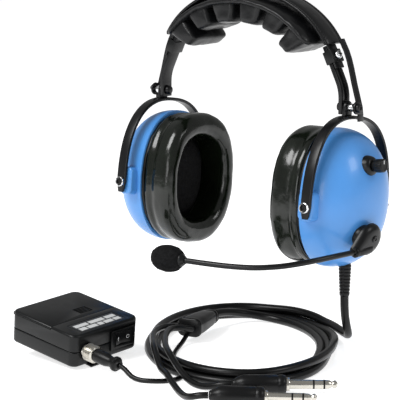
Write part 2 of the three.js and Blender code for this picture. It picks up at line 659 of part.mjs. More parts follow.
function casePieces() {
  const { height } = MODULE;
  return [
    piece('module_case_bottom', bottomGeometry(), BLACK_PLASTIC),
    piece('module_case_top', topGeometry(), BLACK_PLASTIC),
    piece('battery_door', doorGeometry(), BLACK_PLASTIC),
    piece('label_plate', block(15, -21.5, height - 0.45, 29, 21.5, height - 0.05), LABEL),
    piece('battery', block(-28, -24.5, 3, -2, 24, 19.5), CELL),
    piece('module_board', block(1, -29, 3.5, 22, 29, 5.1), GREEN_BOARD),
    piece('belt_clip', clipGeometry(), BLACK_STEEL),
  ];
}

// A spring clip under the case: fixed at the front, standing off behind.
function clipGeometry() {
  const line = new THREE.SplineCurve(flat([
    [35.5, -1.3], [33, -1], [26, -1], [16, -2.2], [5, -5], [-4, -6.7], [-9, -7],
  ]));
  return slabY(strip(line.getPoints(12), 1.2), -17, 3);
}

function socketPieces() {
  const barrel = turnedX([[0, FACE - 6.6], [4.9, FACE - 6.6], [4.9, FACE + 5.6], [0, FACE + 5.6]]);
  const socket = cut(barrel, rodX(3.8, FACE - 2, FACE + 6));
  const ring = rodX(6.3, FACE + 1, FACE + 9.4, 0, 0, 18);
  const nut = cut(ring, rodX(5.3, FACE, FACE + 7.4), rodX(3.5, FACE, FACE + 11));
  const plug = turnedX([
    [0, FACE - 1.4], [3.1, FACE - 1.4], [3.1, FACE + 9.9], [4.8, FACE + 9.9], [4.8, FACE + 20.5],
    [3.8, FACE + 24], [3.8, FACE + 26.5], [5.3, FACE + 27.5], [5.3, FACE + 30], [3.1, FACE + 32.5],
    [0, FACE + 32.5],
  ]);
  return [
    piece('module_socket', socket, BRASS),
    piece('coupling_nut', nut, CHROME),
    piece('module_plug', plug, RUBBER),
  ].map((mesh) => {
    mesh.position.set(0, CASE.socketY, CASE.socketZ);
    return mesh;
  });
}

function switchPieces() {
  const frame = block(FACE - 2.6, 3.6, 4.8, FACE + 1, 27.2, 19.2);
  const bezel = cut(frame, block(FACE - 4, 7.8, 7.2, FACE + 2, 23, 16.8));
  const rocker = prism(flat([
    [FACE - 3, -7.2], [FACE + 1.2, -7.2], [FACE + 0.2, 0], [FACE + 1.2, 7.2], [FACE - 3, 7.2],
  ]), 8.6);
  return [
    piece('switch_bezel', bezel, BLACK_PLASTIC),
    piece('rocker_switch', rocker.translate(0, 15.4, 7.7), BLACK_PLASTIC),
  ];
}

function moduleGroup() {
  const { x, y, turn, tilt, rock, length, lift } = MODULE;
  const { degToRad } = THREE.MathUtils;
  const body = group(...casePieces(), ...socketPieces(), ...switchPieces());
  body.position.x = -length / 2;
  const tilted = group(body);
  tilted.rotation.set(degToRad(rock), degToRad(tilt), 0, 'YXZ');
  tilted.position.set(length / 2, 0, lift);
  const placed = group(tilted);
  placed.rotation.z = degToRad(turn);
  placed.position.set(x, y, FLOOR);
  return placed;
}

// ------------------------------------------------------------------ assembly
// Cup and yoke pieces of both sides, leaned back about the wearer's ear axis.
function earSides() {
  const leaned = new THREE.Group();
  leaned.rotation.x = -PITCH;
  const screws = (side) => [
    piece(`${side}_front_pivot_screw`, pivotScrew(side === 'left' ? -1 : 1), CHROME),
    piece(`${side}_rear_pivot_screw`, pivotScrew(side === 'left' ? 1 : -1), CHROME),
  ];
  leaned.add(...cupPieces('left', leftShell()), ...screws('left'), ...knobPieces(), ...boomMountPieces());
  leaned.add(piece('left_yoke', yokeGeometry(1), BLACK_STEEL));
  const turned = group(...cupPieces('right', shellGeometry()), ...screws('right'));
  turned.add(piece('right_yoke', yokeGeometry(-1), BLACK_STEEL));
  turned.rotation.z = Math.PI;
  leaned.add(turned);
  return leaned;
}

function arms() {
  const turned = group(...armPieces('right', -1));
  turned.rotation.z = Math.PI;
  return group(...armPieces('left', 1), turned);
}

const headset = group(
  earSides(),
  arms(),
  ...headbandPieces(),
  ...boomPieces(),
  amplifierBoard(),
  reliefPiece(),
  ...coilPieces(),
  yBlockPiece(),
  plugPieces('phones', [93.9, -138.1, -105.5], 39, 6.35),
  plugPieces('mic', [98.6, -167.8, -105.5], 36, 5.2),
  moduleGroup(),
);

export default headset;
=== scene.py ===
"""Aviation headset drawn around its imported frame. Shapes are in millimetres until they are built."""

import json
import math

import bmesh
import bpy
from mathutils import Matrix, Vector, noise
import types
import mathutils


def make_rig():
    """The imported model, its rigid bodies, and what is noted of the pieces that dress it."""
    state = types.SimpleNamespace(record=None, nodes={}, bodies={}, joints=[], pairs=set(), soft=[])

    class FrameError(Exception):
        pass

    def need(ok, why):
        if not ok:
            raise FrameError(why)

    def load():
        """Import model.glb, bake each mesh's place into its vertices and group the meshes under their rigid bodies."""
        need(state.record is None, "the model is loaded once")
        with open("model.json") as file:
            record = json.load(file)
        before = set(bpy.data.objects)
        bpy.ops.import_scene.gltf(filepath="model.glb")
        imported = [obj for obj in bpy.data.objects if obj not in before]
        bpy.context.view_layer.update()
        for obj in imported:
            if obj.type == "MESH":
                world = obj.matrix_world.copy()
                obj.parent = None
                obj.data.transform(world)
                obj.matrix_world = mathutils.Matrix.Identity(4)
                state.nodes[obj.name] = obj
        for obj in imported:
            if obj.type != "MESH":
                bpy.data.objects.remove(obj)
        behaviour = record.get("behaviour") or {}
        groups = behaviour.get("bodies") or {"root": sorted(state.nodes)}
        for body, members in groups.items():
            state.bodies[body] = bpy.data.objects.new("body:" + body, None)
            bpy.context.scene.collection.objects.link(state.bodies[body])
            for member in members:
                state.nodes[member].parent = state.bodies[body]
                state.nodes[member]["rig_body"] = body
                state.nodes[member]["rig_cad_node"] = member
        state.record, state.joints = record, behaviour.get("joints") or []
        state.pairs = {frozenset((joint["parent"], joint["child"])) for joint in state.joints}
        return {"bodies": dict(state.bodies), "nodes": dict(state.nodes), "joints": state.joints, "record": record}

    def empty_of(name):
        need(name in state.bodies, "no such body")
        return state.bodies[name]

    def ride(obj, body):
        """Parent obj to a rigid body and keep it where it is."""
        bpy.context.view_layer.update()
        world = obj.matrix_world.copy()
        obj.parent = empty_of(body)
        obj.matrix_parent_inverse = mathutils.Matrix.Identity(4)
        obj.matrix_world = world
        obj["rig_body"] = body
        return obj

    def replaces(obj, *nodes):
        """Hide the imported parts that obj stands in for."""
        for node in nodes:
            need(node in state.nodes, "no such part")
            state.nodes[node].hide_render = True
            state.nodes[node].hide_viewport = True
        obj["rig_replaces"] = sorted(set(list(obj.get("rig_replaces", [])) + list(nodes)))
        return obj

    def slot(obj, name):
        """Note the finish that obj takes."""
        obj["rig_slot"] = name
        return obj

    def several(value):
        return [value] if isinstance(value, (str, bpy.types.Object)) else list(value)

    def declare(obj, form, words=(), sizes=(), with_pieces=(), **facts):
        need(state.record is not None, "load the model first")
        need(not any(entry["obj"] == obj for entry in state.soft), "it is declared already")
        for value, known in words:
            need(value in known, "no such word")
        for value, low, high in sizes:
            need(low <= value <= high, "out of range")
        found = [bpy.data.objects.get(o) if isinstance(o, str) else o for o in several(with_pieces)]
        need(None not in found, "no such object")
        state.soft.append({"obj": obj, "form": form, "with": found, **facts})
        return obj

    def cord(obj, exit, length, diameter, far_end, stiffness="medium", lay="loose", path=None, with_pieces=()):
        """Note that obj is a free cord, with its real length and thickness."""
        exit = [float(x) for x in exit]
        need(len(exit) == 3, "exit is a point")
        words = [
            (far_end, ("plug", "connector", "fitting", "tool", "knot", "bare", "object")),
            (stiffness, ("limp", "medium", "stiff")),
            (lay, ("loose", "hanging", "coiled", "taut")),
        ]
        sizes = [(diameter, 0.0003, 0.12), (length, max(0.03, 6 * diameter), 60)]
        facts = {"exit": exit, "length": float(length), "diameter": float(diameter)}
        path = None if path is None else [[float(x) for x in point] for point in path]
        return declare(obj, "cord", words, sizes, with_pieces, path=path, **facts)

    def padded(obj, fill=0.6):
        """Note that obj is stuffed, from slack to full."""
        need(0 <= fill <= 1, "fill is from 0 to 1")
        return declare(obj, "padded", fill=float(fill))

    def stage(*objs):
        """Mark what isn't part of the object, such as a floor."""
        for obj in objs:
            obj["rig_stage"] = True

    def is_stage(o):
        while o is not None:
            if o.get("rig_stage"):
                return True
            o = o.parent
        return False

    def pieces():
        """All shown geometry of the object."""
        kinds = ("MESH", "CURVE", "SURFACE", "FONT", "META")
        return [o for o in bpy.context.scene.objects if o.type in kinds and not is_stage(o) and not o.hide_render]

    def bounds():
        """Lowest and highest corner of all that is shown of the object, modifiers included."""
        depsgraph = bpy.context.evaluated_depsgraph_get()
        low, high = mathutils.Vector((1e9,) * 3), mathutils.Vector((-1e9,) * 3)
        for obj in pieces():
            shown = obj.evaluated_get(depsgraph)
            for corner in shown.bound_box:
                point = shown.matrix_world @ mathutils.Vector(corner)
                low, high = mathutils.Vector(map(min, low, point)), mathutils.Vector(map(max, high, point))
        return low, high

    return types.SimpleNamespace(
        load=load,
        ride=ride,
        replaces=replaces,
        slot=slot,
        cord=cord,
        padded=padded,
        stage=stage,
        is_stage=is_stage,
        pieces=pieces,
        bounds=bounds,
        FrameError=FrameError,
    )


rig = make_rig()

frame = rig.load()
cad_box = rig.bounds()

MM = 0.001
NODES = frame["nodes"]
SLOT_OF = {row["node"]: row["material_slot"] for row in frame["record"]["subparts"]}
X, Y = Vector((1, 0, 0)), Vector((0, 1, 0))
FLOOR = -112.0
CUP = {"half_y": 40.5, "rim": 75, "depth": 38, "wall": 2.6, "crown": 2.3, "outline": 2.2, "stretch": 10}
PIVOT_X, PIVOT_Z, PIVOT_SPAN, YOKE_RISE, BOLT_Z = 87, -6, 48, 64.5, 66
BAND_A, BAND_B, BAND_Z, SPRING_DEPTH = 82, 62, 86, 3.4
STRAP_TUCK_FROM, STRAP_TUCK_OVER, STRAP_TUCK_DOWN = 104, 12, 2.4
noise.seed_set(7)  # without a seed, noise_vector draws its offsets from the clock


# ---------------------------------------------------------------- camera
def make_camera():
    data = bpy.data.cameras.new("camera")
    data.sensor_width = 36
    data.lens = 153
    data.clip_end = 50
    camera = bpy.data.objects.new("camera", data)
    camera.location = (0.77866, -0.98725, 0.21501)
    camera.rotation_euler = (math.radians(79.8), 0, math.radians(40))
    bpy.context.collection.objects.link(camera)
    bpy.context.scene.camera = camera


make_camera()


# ---------------------------------------------------------------- small maths
def shift(x, y, z):
    return Matrix.Translation((x, y, z))


def turn(degrees, axis):
    return Matrix.Rotation(math.radians(degrees), 4, axis)


def ease(t):
    t = min(max(t, 0.0), 1.0)
    return t * t * (3 - 2 * t)


def spline(points, spacing, closed=False):
    """Even points along a smooth curve through the given ones."""
    pts = [Vector(p) for p in points]
    count = len(pts)
    out = []
    for k in range(count if closed else count - 1):
        if closed:
            a, b, c, d = (pts[(k + i) % count] for i in (-1, 0, 1, 2))
        else:
            b, c = pts[k], pts[k + 1]
            a = pts[k - 1] if k else 2 * b - c
            d = pts[k + 2] if k + 2 < count else 2 * c - b
        ta = max((b - a).length, 1e-6) ** 0.5
        tb = max((c - b).length, 1e-6) ** 0.5
        tc = max((d - c).length, 1e-6) ** 0.5
        m1 = ((b - a) / ta - (c - a) / (ta + tb) + (c - b) / tb) * tb
        m2 = ((c - b) / tb - (d - b) / (tb + tc) + (d - c) / tc) * tb
        steps = max(1, round((c - b).length / spacing))
        for i in range(steps):
            t = i / steps
            out.append(
                (2 * t**3 - 3 * t**2 + 1) * b + (t**3 - 2 * t**2 + t) * m1
                + (3 * t**2 - 2 * t**3) * c + (t**3 - t**2) * m2
            )
    if not closed:
        out.append(pts[-1])
    return out


def line_length(points):
    return sum((b - a).length for a, b in zip(points, points[1:]))


# ---------------------------------------------------------------- shape makers
class Shape:
    """Vertices and faces gathered from several forms; mark is the material number."""

    def __init__(self):
        self.verts, self.faces, self.marks = [], [], []

    def add(self, form, matrix=None, mark=0):
        verts, faces = form
        base = len(self.verts)
        self.verts += [matrix @ Vector(v) if matrix else Vector(v) for v in verts]
        self.faces += [[base + i for i in face] for face in faces]
        self.marks += [mark] * len(faces)
        return self


def lathe(profile, sides=32, warp=None):
    """A form turned about +X from (radius, x) pairs; equal first and last pairs make a ring."""
    ring_form = profile[0] == profile[-1]
    rows = profile[:-1] if ring_form else profile
    verts, rings = [], []
    for radius, x in rows:
        if radius < 1e-6:
            rings.append([len(verts)])
            verts.append((x, 0, 0))
            continue
        rings.append(list(range(len(verts), len(verts) + sides)))
        for i in range(sides):
            a = 2 * math.pi * i / sides
            y, z = warp(radius, x, a) if warp else (radius * math.cos(a), radius * math.sin(a))
            verts.append((x, y, z))
    faces = []
    for a, b in zip(rings, rings[1:] + (rings[:1] if ring_form else [])):
        for i in range(sides):
            j = (i + 1) % sides
            if len(a) > 1 and len(b) > 1:
                faces.append((a[i], a[j], b[j], b[i]))
            elif len(b) > 1:
                faces.append((a[0], b[j], b[i]))
            elif len(a) > 1:
                faces.append((a[i], a[j], b[0]))
    return verts, faces


def oval(extra, core, power, growth=1):
    """A warp that makes a round section a tall rounded stadium."""

    def warp(radius, _x, angle):
        c, s = math.cos(angle), math.sin(angle)
        grow = (abs(c) ** power + abs(s) ** power) ** (-1 / power)
        return c * grow * radius, s * grow * (radius + extra * min(1, radius / core) ** growth)

    return warp


def rounded(width, height, radius, steps=3):
    """The outline of a rounded rectangle as (u, v) pairs."""
    out = []
    for cx, cy, start in ((1, 1, 0), (-1, 1, 90), (-1, -1, 180), (1, -1, 270)):
        for i in range(steps + 1):
            a = math.radians(start + 90 * i / steps)
            out.append((cx * (width / 2 - radius) + radius * math.cos(a),
                        cy * (height / 2 - radius) + radius * math.sin(a)))
    return out


def sweep(points, section, side, sizes=None):
    """A section carried along a line; side is the direction of the section's first axis."""
    points = [Vector(p) for p in points]
    count, last = len(section), len(points) - 1
    verts, faces = [], []
    for k, point in enumerate(points):
        along = (points[min(k + 1, last)] - points[max(k - 1, 0)]).normalized()
        u = (side - side.dot(along) * along).normalized()
        v = along.cross(u)
        su, sv = sizes(k / last) if sizes else (1, 1)
        verts += [point + u * a * su + v * b * sv for a, b in section]
    for k in range(last):
        for i in range(count):
            j = (i + 1) % count
            faces.append((k * count + i, k * count + j, (k + 1) * count + j, (k + 1) * count + i))
    faces.append(tuple(range(count))[::-1])
    faces.append(tuple(last * count + i for i in range(count)))
    return verts, faces


def prism(outline, z0, z1):
    """An outline in X and Y given height along Z."""
    n = len(outline)
    verts = [(x, y, z) for z in (z0, z1) for x, y in outline]
    faces = [(i, (i + 1) % n, n + (i + 1) % n, n + i) for i in range(n)]
    return verts, faces + [tuple(range(n))[::-1], tuple(range(n, 2 * n))]


def brick(x0, y0, z0, x1, y1, z1):
    return prism([(x0, y0), (x1, y0), (x1, y1), (x0, y1)], z0, z1)


# ---------------------------------------------------------------- materials
def look(name, colour, rough, metal=0.0, coat=0.0, tint=0.12, tint_scale=60, rough_spread=0.06,
         grain=900, bump=0.15, depth=0.0001, cells=False, specular=0.5, wrinkle=0.0, emit=0.0):
    """A procedural material: mottled colour, uneven gloss, and fine grain or pores as bump."""
    mat = bpy.data.materials.new(name)
    mat.use_nodes = True
    tree = mat.node_tree
    add, link = tree.nodes.new, tree.links.new
    shader = tree.nodes["Principled BSDF"]
    shader.inputs["Metallic"].default_value = metal
    shader.inputs["Coat Weight"].default_value = coat
    shader.inputs["Coat Roughness"].default_value = 0.08
    shader.inputs["Specular IOR Level"].default_value = specular
    where = add("ShaderNodeTexCoord").outputs["Object"]

    def cloud(scale, detail=3.0):
        node = add("ShaderNodeTexNoise")
        node.inputs["Scale"].default_value = scale
        node.inputs["Detail"].default_value = detail
        link(where, node.inputs["Vector"])
        return node.outputs["Fac"]

    ramp = add("ShaderNodeValToRGB")
    ramp.color_ramp.elements[0].position, ramp.color_ramp.elements[1].position = 0.3, 0.7
    ramp.color_ramp.elements[0].color = [c * (1 - tint) for c in colour] + [1]
    ramp.color_ramp.elements[1].color = [min(1, c * (1 + tint)) for c in colour] + [1]
    link(cloud(tint_scale), ramp.inputs["Fac"])
    link(ramp.outputs["Color"], shader.inputs["Base Color"])
    spread = add("ShaderNodeMapRange")
    spread.inputs["To Min"].default_value = max(0.02, rough - rough_spread)
    spread.inputs["To Max"].default_value = min(1, rough + rough_spread)
    link(cloud(tint_scale * 3), spread.inputs["Value"])
    link(spread.outputs["Result"], shader.inputs["Roughness"])
    if cells:
        pores = add("ShaderNodeTexVoronoi")
        pores.inputs["Scale"].default_value = grain
        link(where, pores.inputs["Vector"])
        height = pores.outputs["Distance"]
    else:
        height = cloud(grain, 2.0)
    fine = add("ShaderNodeBump")
    fine.inputs["Strength"].default_value = bump
    fine.inputs["Distance"].default_value = depth
    link(height, fine.inputs["Height"])
    if wrinkle:
        broad = add("ShaderNodeBump")
        broad.inputs["Strength"].default_value = wrinkle
        broad.inputs["Distance"].default_value = 0.002
        link(cloud(110, 4.0), broad.inputs["Height"])
        link(broad.outputs["Normal"], fine.inputs["Normal"])
    link(fine.outputs["Normal"], shader.inputs["Normal"])
    if emit:
        shader.inputs["Emission Color"].default_value = (1, 1, 1, 1)
        shader.inputs["Emission Strength"].default_value = emit
    return mat


BLUE = look("blue_shell", (0.07, 0.27, 0.66), 0.34, coat=0.2, tint=0.03, rough_spread=0.03, bump=0.05)
VINYL = look("seal_vinyl", (0.003, 0.005, 0.0025), 0.19, coat=0.15, tint=0.3, bump=0.08, wrinkle=0.18,
             specular=0.38)
LEATHER = look("leatherette", (0.0035, 0.0037, 0.0042), 0.33, tint=0.25, grain=1100, bump=0.25, cells=True,
               wrinkle=0.25, specular=0.3)
THREAD = look("thread", (0.02, 0.02, 0.021), 0.6, grain=2500, bump=0.5)
PLASTIC = look("black_plastic", (0.0028, 0.0032, 0.0035), 0.33, tint=0.15, grain=2200, bump=0.1,
               specular=0.27)
STEEL = look("black_steel", (0.0032, 0.0034, 0.004), 0.3, tint=0.2, grain=1500, bump=0.06, specular=0.3)
RUBBER = look("cord_rubber", (0.0025, 0.0026, 0.0028), 0.3, tint=0.2, grain=600, bump=0.06, specular=0.25)
MOULDED = look("moulded_rubber", (0.0026, 0.0027, 0.003), 0.35, tint=0.2, grain=1200, bump=0.1,
               specular=0.25)
FOAM = look("foam", (0.006, 0.006, 0.0065), 0.95, tint=0.5, tint_scale=500, grain=900, bump=0.9,
            depth=0.0004, cells=True, specular=0.15)
CHROME = look("chrome", (0.7, 0.71, 0.72), 0.2, metal=1, tint=0.05, bump=0.02)
BRASS = look("plug_metal", (0.55, 0.53, 0.48), 0.22, metal=1, tint=0.08, bump=0.02)
BARE_STEEL = look("bare_steel", (0.36, 0.37, 0.38), 0.4, metal=1, bump=0.1)
BOARD = look("circuit_board", (0.02, 0.12, 0.05), 0.45, tint=0.4, tint_scale=300)
CELL = look("battery_sleeve", (0.2, 0.22, 0.25), 0.4, tint=0.1)
LABEL = look("label", (0.02, 0.021, 0.023), 0.4, tint=0.1, bump=0.05, specular=0.3)
WHITE = look("print_white", (0.6, 0.61, 0.61), 0.5, tint=0.05, bump=0.05)
LOOKS = {
    "blue_shell": BLUE, "seal_vinyl": VINYL, "pad_leatherette": LEATHER, "foam": FOAM,
    "chrome_screws": CHROME, "brass": BRASS, "black_steel": STEEL, "speaker_steel": BARE_STEEL,
    "cord_rubber": RUBBER, "circuit_board": BOARD, "battery_case": CELL, "label": LABEL,
    "black_plastic": PLASTIC,
}


# ---------------------------------------------------------------- making pieces
def settle(obj, nodes, body=None, slot=None):
    """Puts a piece on its body, names its finish, and hides the CAD nodes that it stands for."""
    if nodes:
        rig.replaces(obj, *nodes)
    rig.slot(obj, slot or SLOT_OF[nodes[0]])
    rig.ride(obj, body or NODES[nodes[0]]["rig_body"])
    return obj


def finish_mesh(bm, name, looks, bevel, crease, weld=True):
    if weld:
        bmesh.ops.remove_doubles(bm, verts=bm.verts, dist=2e-6)
    bmesh.ops.recalc_face_normals(bm, faces=bm.faces)
    if bevel:
        limit = math.radians(crease)
        sharp = [e for e in bm.edges if len(e.link_faces) == 2 and e.calc_face_angle(0) > limit]
        bmesh.ops.bevel(bm, geom=sharp, offset=bevel * MM, segments=2, profile=0.5, affect="EDGES",
                        clamp_overlap=True)
    for edge in bm.edges:
        edge.smooth = len(edge.link_faces) != 2 or edge.calc_face_angle(0) < math.radians(crease)
    for face in bm.faces:
        face.smooth = True
    mesh = bpy.data.meshes.new(name)
    bm.to_mesh(mesh)
    bm.free()
    for material in looks:
        mesh.materials.append(material)
    obj = bpy.data.objects.new(name, mesh)
    bpy.context.collection.objects.link(obj)
    return obj


def build(name, shape, looks, matrix=None, bevel=0.0, crease=38, wobble=None):
    """Makes a mesh object out of a Shape."""
    matrix = matrix or Matrix.Identity(4)
    bm = bmesh.new()
    verts = []
    for v in shape.verts:
        point = matrix @ v
        if wobble:
            point = point + wobble(point)
        verts.append(bm.verts.new(point * MM))
    for face, mark in zip(shape.faces, shape.marks):
        try:
            bm.faces.new([verts[i] for i in face]).material_index = mark
        except ValueError:
            continue
    return finish_mesh(bm, name, looks, bevel, crease)


def refined(node, looks=None, bevel=0.3, crease=34):
    """The CAD shape of a node with its edges rounded and its curves shaded smooth."""
    bm = bmesh.new()
    bm.from_mesh(NODES[node].data)
    bmesh.ops.remove_doubles(bm, verts=bm.verts, dist=2e-6)
    bmesh.ops.dissolve_limit(bm, angle_limit=math.radians(1.5), verts=bm.verts, edges=bm.edges)
    obj = finish_mesh(bm, f"{node}_skin", looks or [LOOKS[SLOT_OF[node]]], bevel, crease, weld=False)
    return settle(obj, [node])


def carve(obj, *cutters):
    """Cuts other meshes out of obj for good."""
    for cutter in cutters:
        modifier = obj.modifiers.new("cut", "BOOLEAN")
        modifier.operation, modifier.solver, modifier.object = "DIFFERENCE", "EXACT", cutter
        depsgraph = bpy.context.evaluated_depsgraph_get()
        mesh = bpy.data.meshes.new_from_object(obj.evaluated_get(depsgraph))
        obj.modifiers.clear()
        obj.data = mesh
        bpy.data.objects.remove(cutter)
    bm = bmesh.new()
    bm.from_mesh(obj.data)
    name, looks = obj.name, list(obj.data.materials)
    bpy.data.objects.remove(obj)
    bmesh.ops.dissolve_limit(bm, angle_limit=math.radians(0.5), verts=bm.verts, edges=bm.edges)
    return bm, name, looks


def cord_curve(name, points, radius, material=None):
    """A round cord along one open line of points in millimetres."""
    data = bpy.data.curves.new(name, "CURVE")
    data.dimensions = "3D"
    data.bevel_depth = radius * MM
    data.bevel_resolution = 5
    data.use_fill_caps = True
    strand = data.splines.new("POLY")
    strand.points.add(len(points) - 1)
    for spot, point in zip(strand.points, points):
        spot.co = (*(Vector(point) * MM), 1)
    strand.use_smooth = True
    data.materials.append(material or RUBBER)
    obj = bpy.data.objects.new(name, data)
    bpy.context.collection.objects.link(obj)
    return obj


def along_z(matrix=None):
    """Turns a form drawn along +X so that it stands along +Z."""
    return (matrix or Matrix.Identity(4)) @ turn(-90, "Y")


# ---------------------------------------------------------------- cords
MAIN_START = [
    (87, 0, -71.6), (87, 0.2, -78), (87, 1, -86), (86.6, 3.6, -94), (84.6, 8.4, -100.5), (80.6, 14, -104.4),
]
MIC_ROUTE = [
    (-15.7, -60.5, -100.5), (-19.4, -67, -98.8), (-21, -77, -97.8), (-15, -93, -97.6), (-3, -108, -97.6),
    (10, -121.5, -97.8), (23, -133, -101), (34, -141.5, -104.8), (46, -149, -105.4), (58, -156.6, -107.8),
    (70, -163.8, -109.7), (80, -169.4, -109.4), (88, -172.4, -107.4), (93.6, -171.3, -105.8),
    (98.28, -168.04, -105.5),
]
PHONES_ROUTE = [
    (-7.6, -58.4, -100.5), (-11.2, -66, -98.8), (-13.2, -76, -97.8), (-6, -90, -97.6), (5, -104, -97.6),
    (18, -117.6, -97.7), (31, -128, -98.6), (44, -135.6, -103), (57, -140.8, -108), (69, -143.9, -109.7),
    (79, -144.2, -108.6), (87, -142.6, -106.4), (90.6, -140.6, -105.6), (93.59, -138.35, -105.5),
]
LEAD_ROUTE = [
    (10.72, -157.45, -103.9), (16, -158, -105.6), (22.5, -158.8, -109), (29.5, -158.4, -110.2),
    (37, -155.4, -110.25), (45.4, -147.6, -110.25), (47.6, -138, -110.25),
    (43, -129.5, -110.25), (33, -121, -110.25), (20, -110, -110.25), (6, -95.5, -110.25),
    (-4, -80, -110.25), (-9, -68.6, -108.6), (-11.7, -59.6, -104.6),
]
MAIN_RADIUS, BRANCH_RADIUS, LEAD_RADIUS = 3.1, 2.3, 1.75
COIL_CENTRE = (29, -45)
COIL_TURN = math.radians(40)
COIL_STRETCH = 29
LANE_IN, LANE_MID, LANE_OUT, LANE_TOP = 56.1, 62.4, 68.7, 65.5
LOW = -108.85


def on_coil(degrees, radius, z):
    a = math.radians(degrees)
    u, v = radius * math.cos(a), (radius + COIL_STRETCH) * math.sin(a)
    c, s = math.cos(COIL_TURN), math.sin(COIL_TURN)
    return Vector((COIL_CENTRE[0] + u * c - v * s, COIL_CENTRE[1] + u * s + v * c, z))


def winding():
    """The main cord's turns, from the top lane at the cup's end to the inner lane at the Y block."""
    first, last = 14, 119 + 3 * 360
    points = []
    for degrees in range(first, last + 1, 3):
        radius = 75.2 + (LANE_TOP - 75.2) * ease((degrees - 14) / 60)
        over = math.sqrt(max(0.0, (2 * MAIN_RADIUS) ** 2 - (radius - LANE_OUT) ** 2))
        z = max(-104.8, LOW + over)
        z += 0.9 * ease((degrees - 270) / 40)
        down = ease((degrees - 345) / 50)
        radius, z = radius + (LANE_OUT - radius) * down, z + (LOW - z) * down
        radius += (LANE_MID - LANE_OUT) * ease((degrees - 660) / 45)
        radius += (LANE_IN - LANE_MID) * ease((degrees - 1020) / 45)
        leave = ease((degrees - 1132) / 67)
        radius, z = radius + (39.7 - radius) * leave, z + 8.35 * leave
        sway = 0.5 * math.sin(math.radians(degrees * 1.37)) * (1 - down * 0.4)
        points.append(on_coil(degrees, radius + sway * ease((degrees - 90) / 40) * (1 - leave), z))
    return points


main_points = spline(MAIN_START + winding()[2:] + [(-22.9, -17.6, -100.5)], 3)
phones_points = spline(PHONES_ROUTE, 3)
mic_points = spline(MIC_ROUTE, 3)
lead_points = spline(LEAD_ROUTE, 3)

Y_BLOCK_AT = shift(-17.5, -37.5, -100.5) @ turn(105, "Z")
y_form = Shape()
y_line = [(x * 21 / 17, 0, 0) for x in (-17, -16.4, -14.6, -13.9, -13.1, -10, -4, 2, 8, 11, 11.6, 12.4, 13,
                                        14.2, 14.8, 15.6, 16.4, 17)]
y_sizes = [(0.9, 0.86), (1, 1), (1, 1), (0.93, 0.92), (0.9, 0.9), (0.93, 0.93), (0.88, 0.9), (0.8, 0.86),
           (0.72, 0.8), (0.67, 0.76), (0.6, 0.7), (0.6, 0.7), (0.66, 0.75), (0.64, 0.73), (0.56, 0.66),
           (0.56, 0.66), (0.6, 0.7), (0.5, 0.6)]
y_form.add(sweep(y_line, rounded(19, 14, 4.8, 5), Y, lambda t: y_sizes[round(t * (len(y_sizes) - 1))]))
y_block = settle(build("y_block_moulding", y_form, [MOULDED], Y_BLOCK_AT, crease=60), ["y_block"])

plug_parts = {}
for plug_name, tail, heading, pin in (("phones", (93.9, -138.1, -105.5), 39, 6.35),
                                      ("mic", (98.6, -167.8, -105.5), 36, 5.2)):
    at = shift(*tail) @ turn(heading, "Z")
    grip = lathe([(0, 0), (2.7, 0), (2.9, 0.3), (3.4, 0.5), (3.5, 1.4), (3.9, 1.9), (5.0, 4), (5.9, 6),
                  (6.35, 8.2),
                  (6.5, 12), (6.5, 29.6), (6.2, 30), (6.2, 31), (6.5, 31.4), (6.45, 33.8), (6.0, 35.4),
                  (5.4, 36), (0, 36)], 40)
    r = pin / 2
    sleeve = lathe([(0, 36.05), (r + 1.3, 36.05), (r + 1.4, 36.4), (r + 1.4, 37.8), (r + 1.1, 38.3),
                    (r, 38.6), (r, 53.7),
                    (r, 53.9), (r, 60.4), (r, 61.4), (r - 0.1, 63), (r * 0.9, 64.8), (r * 0.62, 66.2),
                    (r * 0.66, 66.9),
                    (r * 0.9, 67.9), (r * 0.86, 68.9), (r * 0.5, 70), (0, 70.4)], 32)
    finger = Shape().add(sleeve)
    for x in (53.6, 60.6):
        finger.add(lathe([(r * 0.9, x), (r + 0.06, x), (r + 0.06, x + 1.2), (r * 0.9, x + 1.2),
                          (r * 0.9, x)], 32), mark=1)
    plug_parts[plug_name] = [
        settle(build(f"{plug_name}_plug_moulding", Shape().add(grip), [MOULDED], at),
               [f"{plug_name}_plug_grip"]),
        settle(build(f"{plug_name}_plug_pin", finger, [BRASS, PLASTIC], at), [f"{plug_name}_plug_finger"]),
    ]

MODULE_EDGE = shift(-55.4, -135.1, FLOOR) @ turn(-2, "Z") @ shift(33, 0, 3.2)
MODULE_AT = MODULE_EDGE @ turn(8, "Y") @ turn(3, "X") @ shift(-33, 0, 0)
SOCKET_AT = MODULE_AT @ shift(33, -19.5, 10.6)


module_plug = settle(build("module_plug_moulding", Shape().add(lathe([
    (0, -1.4), (3.1, -1.4), (3.1, 9.9), (4.4, 9.9), (4.75, 10.2), (4.8, 11), (4.8, 19.4), (4.5, 20.6),
                                                                      (4.0, 23), (3.8, 24.2),
    (3.75, 26.4), (4.1, 27.1), (5.0, 27.5), (5.3, 28), (5.3, 29.6), (4.9, 30.1), (3.9, 30.4), (3.3, 31.3),
                                                                      (3.1, 32.4), (0, 32.5)], 40)),
    [MOULDED], SOCKET_AT), ["module_plug"])
nut_form = Shape()
nut_profile = [(3.5, 1), (5.5, 1)]
for k in range(7):
    x = 1.5 + 1.08 * k
    nut_profile += [(5.6, x - 0.2), (6.25, x + 0.15), (6.25, x + 0.5), (5.6, x + 0.85)]
nut_profile += [(5.6, 9), (5.2, 9.4), (3.5, 9.4), (3.5, 1)]
nut_form.add(lathe(nut_profile, 48))
coupling_nut = settle(build("coupling_nut_ribbed", nut_form, [BRASS], SOCKET_AT, crease=50),
                      ["coupling_nut"])

